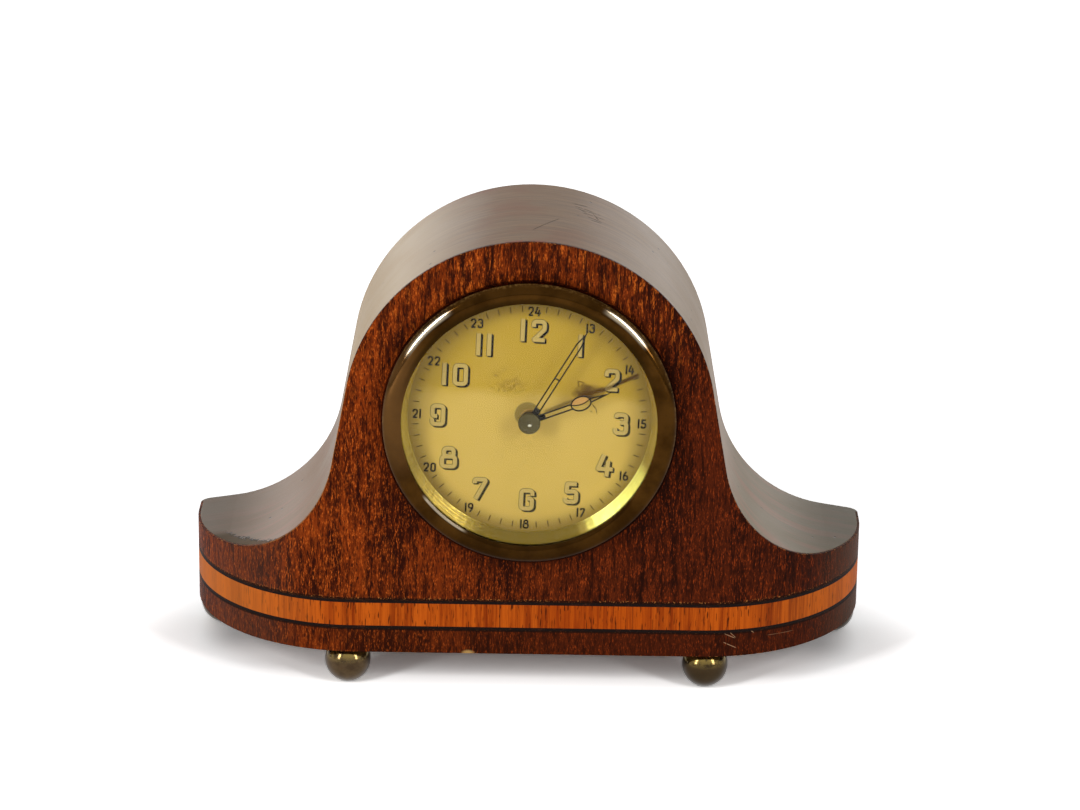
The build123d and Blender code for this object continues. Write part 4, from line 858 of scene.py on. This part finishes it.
# Strokes of the figures, closed or not: shares of the width and height between the middles of the outer
# strokes, and of the corner radius
FIGURES = {
    "0": [(True, [(0, 0), (1, 0), (1, 1), (0, 1)])],
    "1": [(False, [(0.5, -0.107), (0.5, 1.107)])],
    "2": [(False, [(0.0, 0.70), (0.0, 1), (1, 1), (1, 0.58), (0.06, 0.0, 0.1), (1.06, 0.0)])],
    "3": [(False, [(0.04, 0.84), (0.06, 1, 0.6), (0.96, 1), (0.96, 0.57), (0.40, 0.57)]),
          (False, [(0.40, 0.57), (1, 0.57), (1, 0), (0, 0), (0, 0.26)])],
    "4": [(False, [(0.40, 1.10), (-0.14, 0.30, 0.1), (1.24, 0.30)]),
          (False, [(0.78, 0.76), (0.68, -0.107)])],
    "5": [(False, [(1.0, 1), (0.14, 1, 0.2), (0.08, 0.56, 0.2), (1, 0.60), (1, 0), (0, 0), (0, 0.22)])],
    "6": [(False, [(1.02, 0.72), (1, 1), (0, 1), (0, 0), (1, 0), (1, 0.56), (0.56, 0.56)])],
    "7": [(False, [(0.02, 0.78), (0.0, 1, 0.7), (1.08, 1, 0.5), (0.14, -0.10)])],
    "8": [(True, [(0.06, 0.57), (0.94, 0.57), (0.94, 1), (0.06, 1)]),
          (True, [(-0.10, 0), (1.10, 0), (1.10, 0.55), (-0.10, 0.55)])],
    "9": [(False, [(-0.02, 0.28), (0, 0), (1, 0), (1, 1), (0, 1), (0, 0.44), (0.44, 0.44)])],
}
# The small figures have closed bowls
SMALL_FIGURES = {
    **FIGURES,
    "6": [(True, [(0, 0), (1, 0), (1, 0.56), (0, 0.56)]),
          (False, [(0.0, 0.30), (0.04, 0.62), (0.70, 1.10)])],
    "9": [(True, [(0, 0.44), (1, 0.44), (1, 1), (0, 1)]),
          (False, [(1.0, 0.70), (0.96, 0.38), (0.30, -0.10)])],
}
PRINT_TURN = radians(1.9)


def printed(x, z):
    """A place on the dial, turned with its printing."""
    return Vector((
        DIAL_X + x * cos(PRINT_TURN) + z * sin(PRINT_TURN),
        DIAL_Z - x * sin(PRINT_TURN) + z * cos(PRINT_TURN),
    ))


def figure_paths(forms, text, middle, width, height, stroke, gap, corner):
    """The stroke paths of a number set upright about a place."""
    spans = [stroke if letter == "1" else width for letter in text]
    left = middle[0] - (sum(spans) + gap * (len(text) - 1)) / 2
    paths = []
    for letter, span in zip(text, spans):
        for closed, shares in forms[letter]:
            run = span - stroke
            spots = [
                (left + stroke / 2 + u * run, middle[1] + (v - 0.5) * (height - stroke), *bend)
                for u, v, *bend in shares
            ]
            paths.append((closed, rounded_path(spots, corner, closed)))
        left += span + gap
    return paths


HOUR_STEP, MINUTE_STEP = 30, 6
HOUR_RADIUS, SMALL_RADIUS, SMALL_DROP = 28.5, 35.7, 0.3
HOUR_SIZES = dict(width=4.75, height=7.4, stroke=1.32, gap=2.05, corner=0.95)
SMALL_SIZES = dict(width=1.80, height=3.15, stroke=0.56, gap=0.40, corner=0.55)
SHADOW_SHIFTS = (0.0, 0.15, 0.30, 0.45, 0.60)
SHADOW_FALL = 0.75
OUTLINE = 0.14
INK_DEPTH, FILL_DEPTH, SUNK = 0.03, 0.06, 0.05
# How far to the right and up each hour stands from its even place
HOUR_SHIFTS = {
    1: (0.6, 0.1), 2: (0.7, -0.4), 3: (0.5, -0.65), 4: (0.0, -0.6), 5: (0.1, 0.0), 6: (0.35, 0.85),
    7: (-0.45, 0.1), 8: (-0.35, -0.3), 9: (-0.5, -0.45), 10: (0.6, -0.9), 11: (-1.2, -0.95), 12: (0.0, 0.6),
}
hour_shadow, hour_fill, small_figures = [], [], []
for hour in range(1, 13):
    bearing = radians(HOUR_STEP * hour)
    right, up = HOUR_SHIFTS[hour]
    middle = (HOUR_RADIUS * sin(bearing) + right, HOUR_RADIUS * cos(bearing) + up)
    shadow, fill, small = [], [], []
    for closed, path in figure_paths(FIGURES, str(hour), middle, **HOUR_SIZES):
        for shift in SHADOW_SHIFTS:
            moved = [printed(spot.x + shift, spot.y - shift * SHADOW_FALL) for spot in path]
            shadow += ribbon(moved, HOUR_SIZES["stroke"] + 2 * OUTLINE, closed)
        fill += ribbon([printed(*spot) for spot in path], HOUR_SIZES["stroke"], closed)
    middle = (SMALL_RADIUS * sin(bearing), SMALL_RADIUS * cos(bearing) - SMALL_DROP)
    for closed, path in figure_paths(SMALL_FIGURES, str(hour + 12), middle, **SMALL_SIZES):
        small += ribbon([printed(*spot) for spot in path], SMALL_SIZES["stroke"], closed)
    hour_shadow.append(shadow)
    hour_fill.append(fill)
    small_figures.append(small)

TICK_NEAR, TICK_FAR, TICK_WIDTH = 35.2, 37.2, 0.30
minute_track = []
for minute in range(60):
    if minute % 5:
        bearing = radians(MINUTE_STEP * minute)
        ends = [printed(reach * sin(bearing), reach * cos(bearing)) for reach in (TICK_NEAR, TICK_FAR)]
        minute_track.append(ribbon(ends, TICK_WIDTH))

ink_near, fill_near, dial_far = DIAL_FRONT - INK_DEPTH, DIAL_FRONT - FILL_DEPTH, DIAL_FRONT + SUNK
add_piece("hour_figures_shadow", hour_shadow, ink_near, dial_far, "figure_ink", "case")
add_piece("hour_figures_fill", hour_fill, fill_near, dial_far, "figure_fill", "case")
add_piece("small_figures", small_figures, ink_near, dial_far, "small_figure_ink", "case")
add_piece("minute_track", minute_track, ink_near, dial_far, "track_ink", "case")

# What is left of the luminous filling in the ring of the hour hand, with the curved wire that holds it
HOUR_TURN = radians(68.8)
RING_PLACE, RING_HALF_LENGTH, RING_HALF_WIDTH, RING_STEPS = 17.4, 2.98, 2.08, 18
WIRE_RISE, WIRE_SAG, WIRE_WIDTH = 0.45, 0.75, 0.36
HAND_HALF, LUME_HALF, WIRE_HALF = 0.15, 0.07, 0.12


def on_hour_hand(along, beside):
    """A place on the hour hand, along it from the dial's centre and beside it to the left."""
    return Vector((
        DIAL_X + along * sin(HOUR_TURN) - beside * cos(HOUR_TURN),
        DIAL_Z + along * cos(HOUR_TURN) + beside * sin(HOUR_TURN),
    ))


ring_edge, ring_wire = [], []
for step in range(RING_STEPS + 1):
    angle = pi * step / RING_STEPS
    along = RING_PLACE + RING_HALF_LENGTH * cos(angle)
    sag = WIRE_SAG * (1 - ((along - RING_PLACE) / RING_HALF_LENGTH) ** 2)
    ring_edge.append(on_hour_hand(along, RING_HALF_WIDTH * sin(angle)))
    ring_wire.append(on_hour_hand(along, WIRE_RISE - sag))
hand_middle = HOUR_FRONT + HAND_HALF
add_piece("hour_lume", [band(ring_edge, ring_wire)], hand_middle - LUME_HALF, hand_middle + LUME_HALF,
          "old_lume", "hour")
add_piece("hour_ring_wire", [ribbon(ring_wire, WIRE_WIDTH)], hand_middle - WIRE_HALF, hand_middle + WIRE_HALF,
          "hand_steel", "hour")


# Floor, light and camera

# Half the width and depth of the floor that holds the clock's shadow, then how far out the floor starts to
# brighten, is brightest and ends
SHADOW_ASIDE, SHADOW_AHEAD = 118.0, 75.0
FLOOR_FAR, FLOOR_FARTHEST, FLOOR_REACH = 600.0, 1800.0, 4000.0


def grey(level):
    """A tone without colour."""
    return (level, level, level)


def floor_finish():
    """Pale floor that keeps the clock's shadow, with painted shadow beneath the base and painted light that
    makes it white round the clock; tones over 1 make up for dim light.
    """
    it = Finish("studio_floor")
    x, y = it.axis("X"), it.axis("Y")
    speck = it.noise((0.02, 0.02, 0.02), 2.0, 0.5)
    aside, ahead = x / SHADOW_ASIDE, y / SHADOW_AHEAD
    # Painted light: for the camera the floor turns white beside and in front of the clock, over the lamps'
    # shadows.
    away = (aside * aside + ahead * ahead).ramp(1.0, 1.6).larger(y.ramp(-8.0, -34.0))
    # Painted shadow: darker beneath the middle of the base, back from a little behind its front edge.
    under = y.ramp(CASE_FRONT + 24.0, CASE_FRONT + 46.0) * abs(x).ramp(112.0, 96.0)
    far = (x * x + y * y).ramp(FLOOR_FAR ** 2, FLOOR_FARTHEST ** 2)
    white = it.layers(
        grey(1.60),
        (under, grey(0.85)),
        (away * it.ray("Camera"), it.blend(far, grey(2.20), grey(4.50))),
    )
    body = it.blend(it.seen(), grey(0.86), white)
    return it.set(Base_Color=body, Roughness=0.85 + speck * 0.1, Specular_IOR_Level=0.0)


floor_mesh = bpy.data.meshes.new("floor")
corners = [(-1, -1), (1, -1), (1, 1), (-1, 1)]
floor_mesh.from_pydata([Vector((x, y, 0)) * FLOOR_REACH * MM for x, y in corners], [], [(0, 1, 2, 3)])
floor = bpy.data.objects.new("floor", floor_mesh)
bpy.context.scene.collection.objects.link(floor)
floor.data.materials.append(floor_finish().material)

# Strength of the surroundings as a light; to the eye they are white
SKY_LIGHT = 0.36
world = bpy.data.worlds.new("studio")
bpy.context.scene.world = world
world.use_nodes = True
sky = Nodes(world.node_tree)
background = sky.tree.nodes["Background"]
sky.join(background.inputs["Color"], grey(1.0))
sky.join(background.inputs["Strength"], SKY_LIGHT + sky.seen() * (1.0 - SKY_LIGHT))

LAMP_AIM = Vector((0, 0, 80))


def softbox(name, place, width, height, brightness):
    """A lamp of a size and brightness, where 1 is as bright as white paper in the background."""
    lamp = bpy.data.lights.new(name, "AREA")
    lamp.shape = "RECTANGLE"
    lamp.size, lamp.size_y = width * MM, height * MM
    lamp.energy = brightness * pi * lamp.size * lamp.size_y
    holder = bpy.data.objects.new(name, lamp)
    bpy.context.scene.collection.objects.link(holder)
    holder.location = Vector(place) * MM
    holder.rotation_euler = (LAMP_AIM - Vector(place)).to_track_quat("-Z", "Y").to_euler()
    holder.visible_camera = False


softbox("softbox_left", (-880, -830, 560), width=220, height=620, brightness=20.0)
softbox("softbox_right", (880, -830, 560), width=220, height=620, brightness=15.5)
softbox("softbox_behind_left", (-650, 1500, 260), width=900, height=500, brightness=1.5)
softbox("softbox_behind_right", (650, 1500, 260), width=900, height=500, brightness=1.1)

TARGET = Vector((3.219, CASE_FRONT + 31.0, 87.362))
DISTANCE, YAW, RISE, ROLL = 1273.3, radians(0.134), radians(19.319), radians(0.823)
FOCAL_PIXELS, IMAGE_WIDTH, SENSOR = 3933.63, 1080, 36.0
NEAREST, FARTHEST = 50.0, 50000.0
back = Vector((sin(YAW) * cos(RISE), -cos(YAW) * cos(RISE), sin(RISE)))
right = Vector((cos(YAW), sin(YAW), 0.0))
up = back.cross(right)
right, up = cos(ROLL) * right + sin(ROLL) * up, -sin(ROLL) * right + cos(ROLL) * up
lens = bpy.data.cameras.new("camera")
lens.sensor_fit = "HORIZONTAL"
lens.sensor_width = SENSOR
lens.lens = FOCAL_PIXELS / IMAGE_WIDTH * SENSOR
lens.clip_start, lens.clip_end = NEAREST * MM, FARTHEST * MM
camera = bpy.data.objects.new("camera", lens)
bpy.context.scene.collection.objects.link(camera)
turn = Matrix((right, up, back)).transposed().to_4x4()
camera.matrix_world = Matrix.Translation((TARGET + back * DISTANCE) * MM) @ turn
bpy.context.scene.camera = camera
bpy.context.scene.view_settings.view_transform = "Standard"
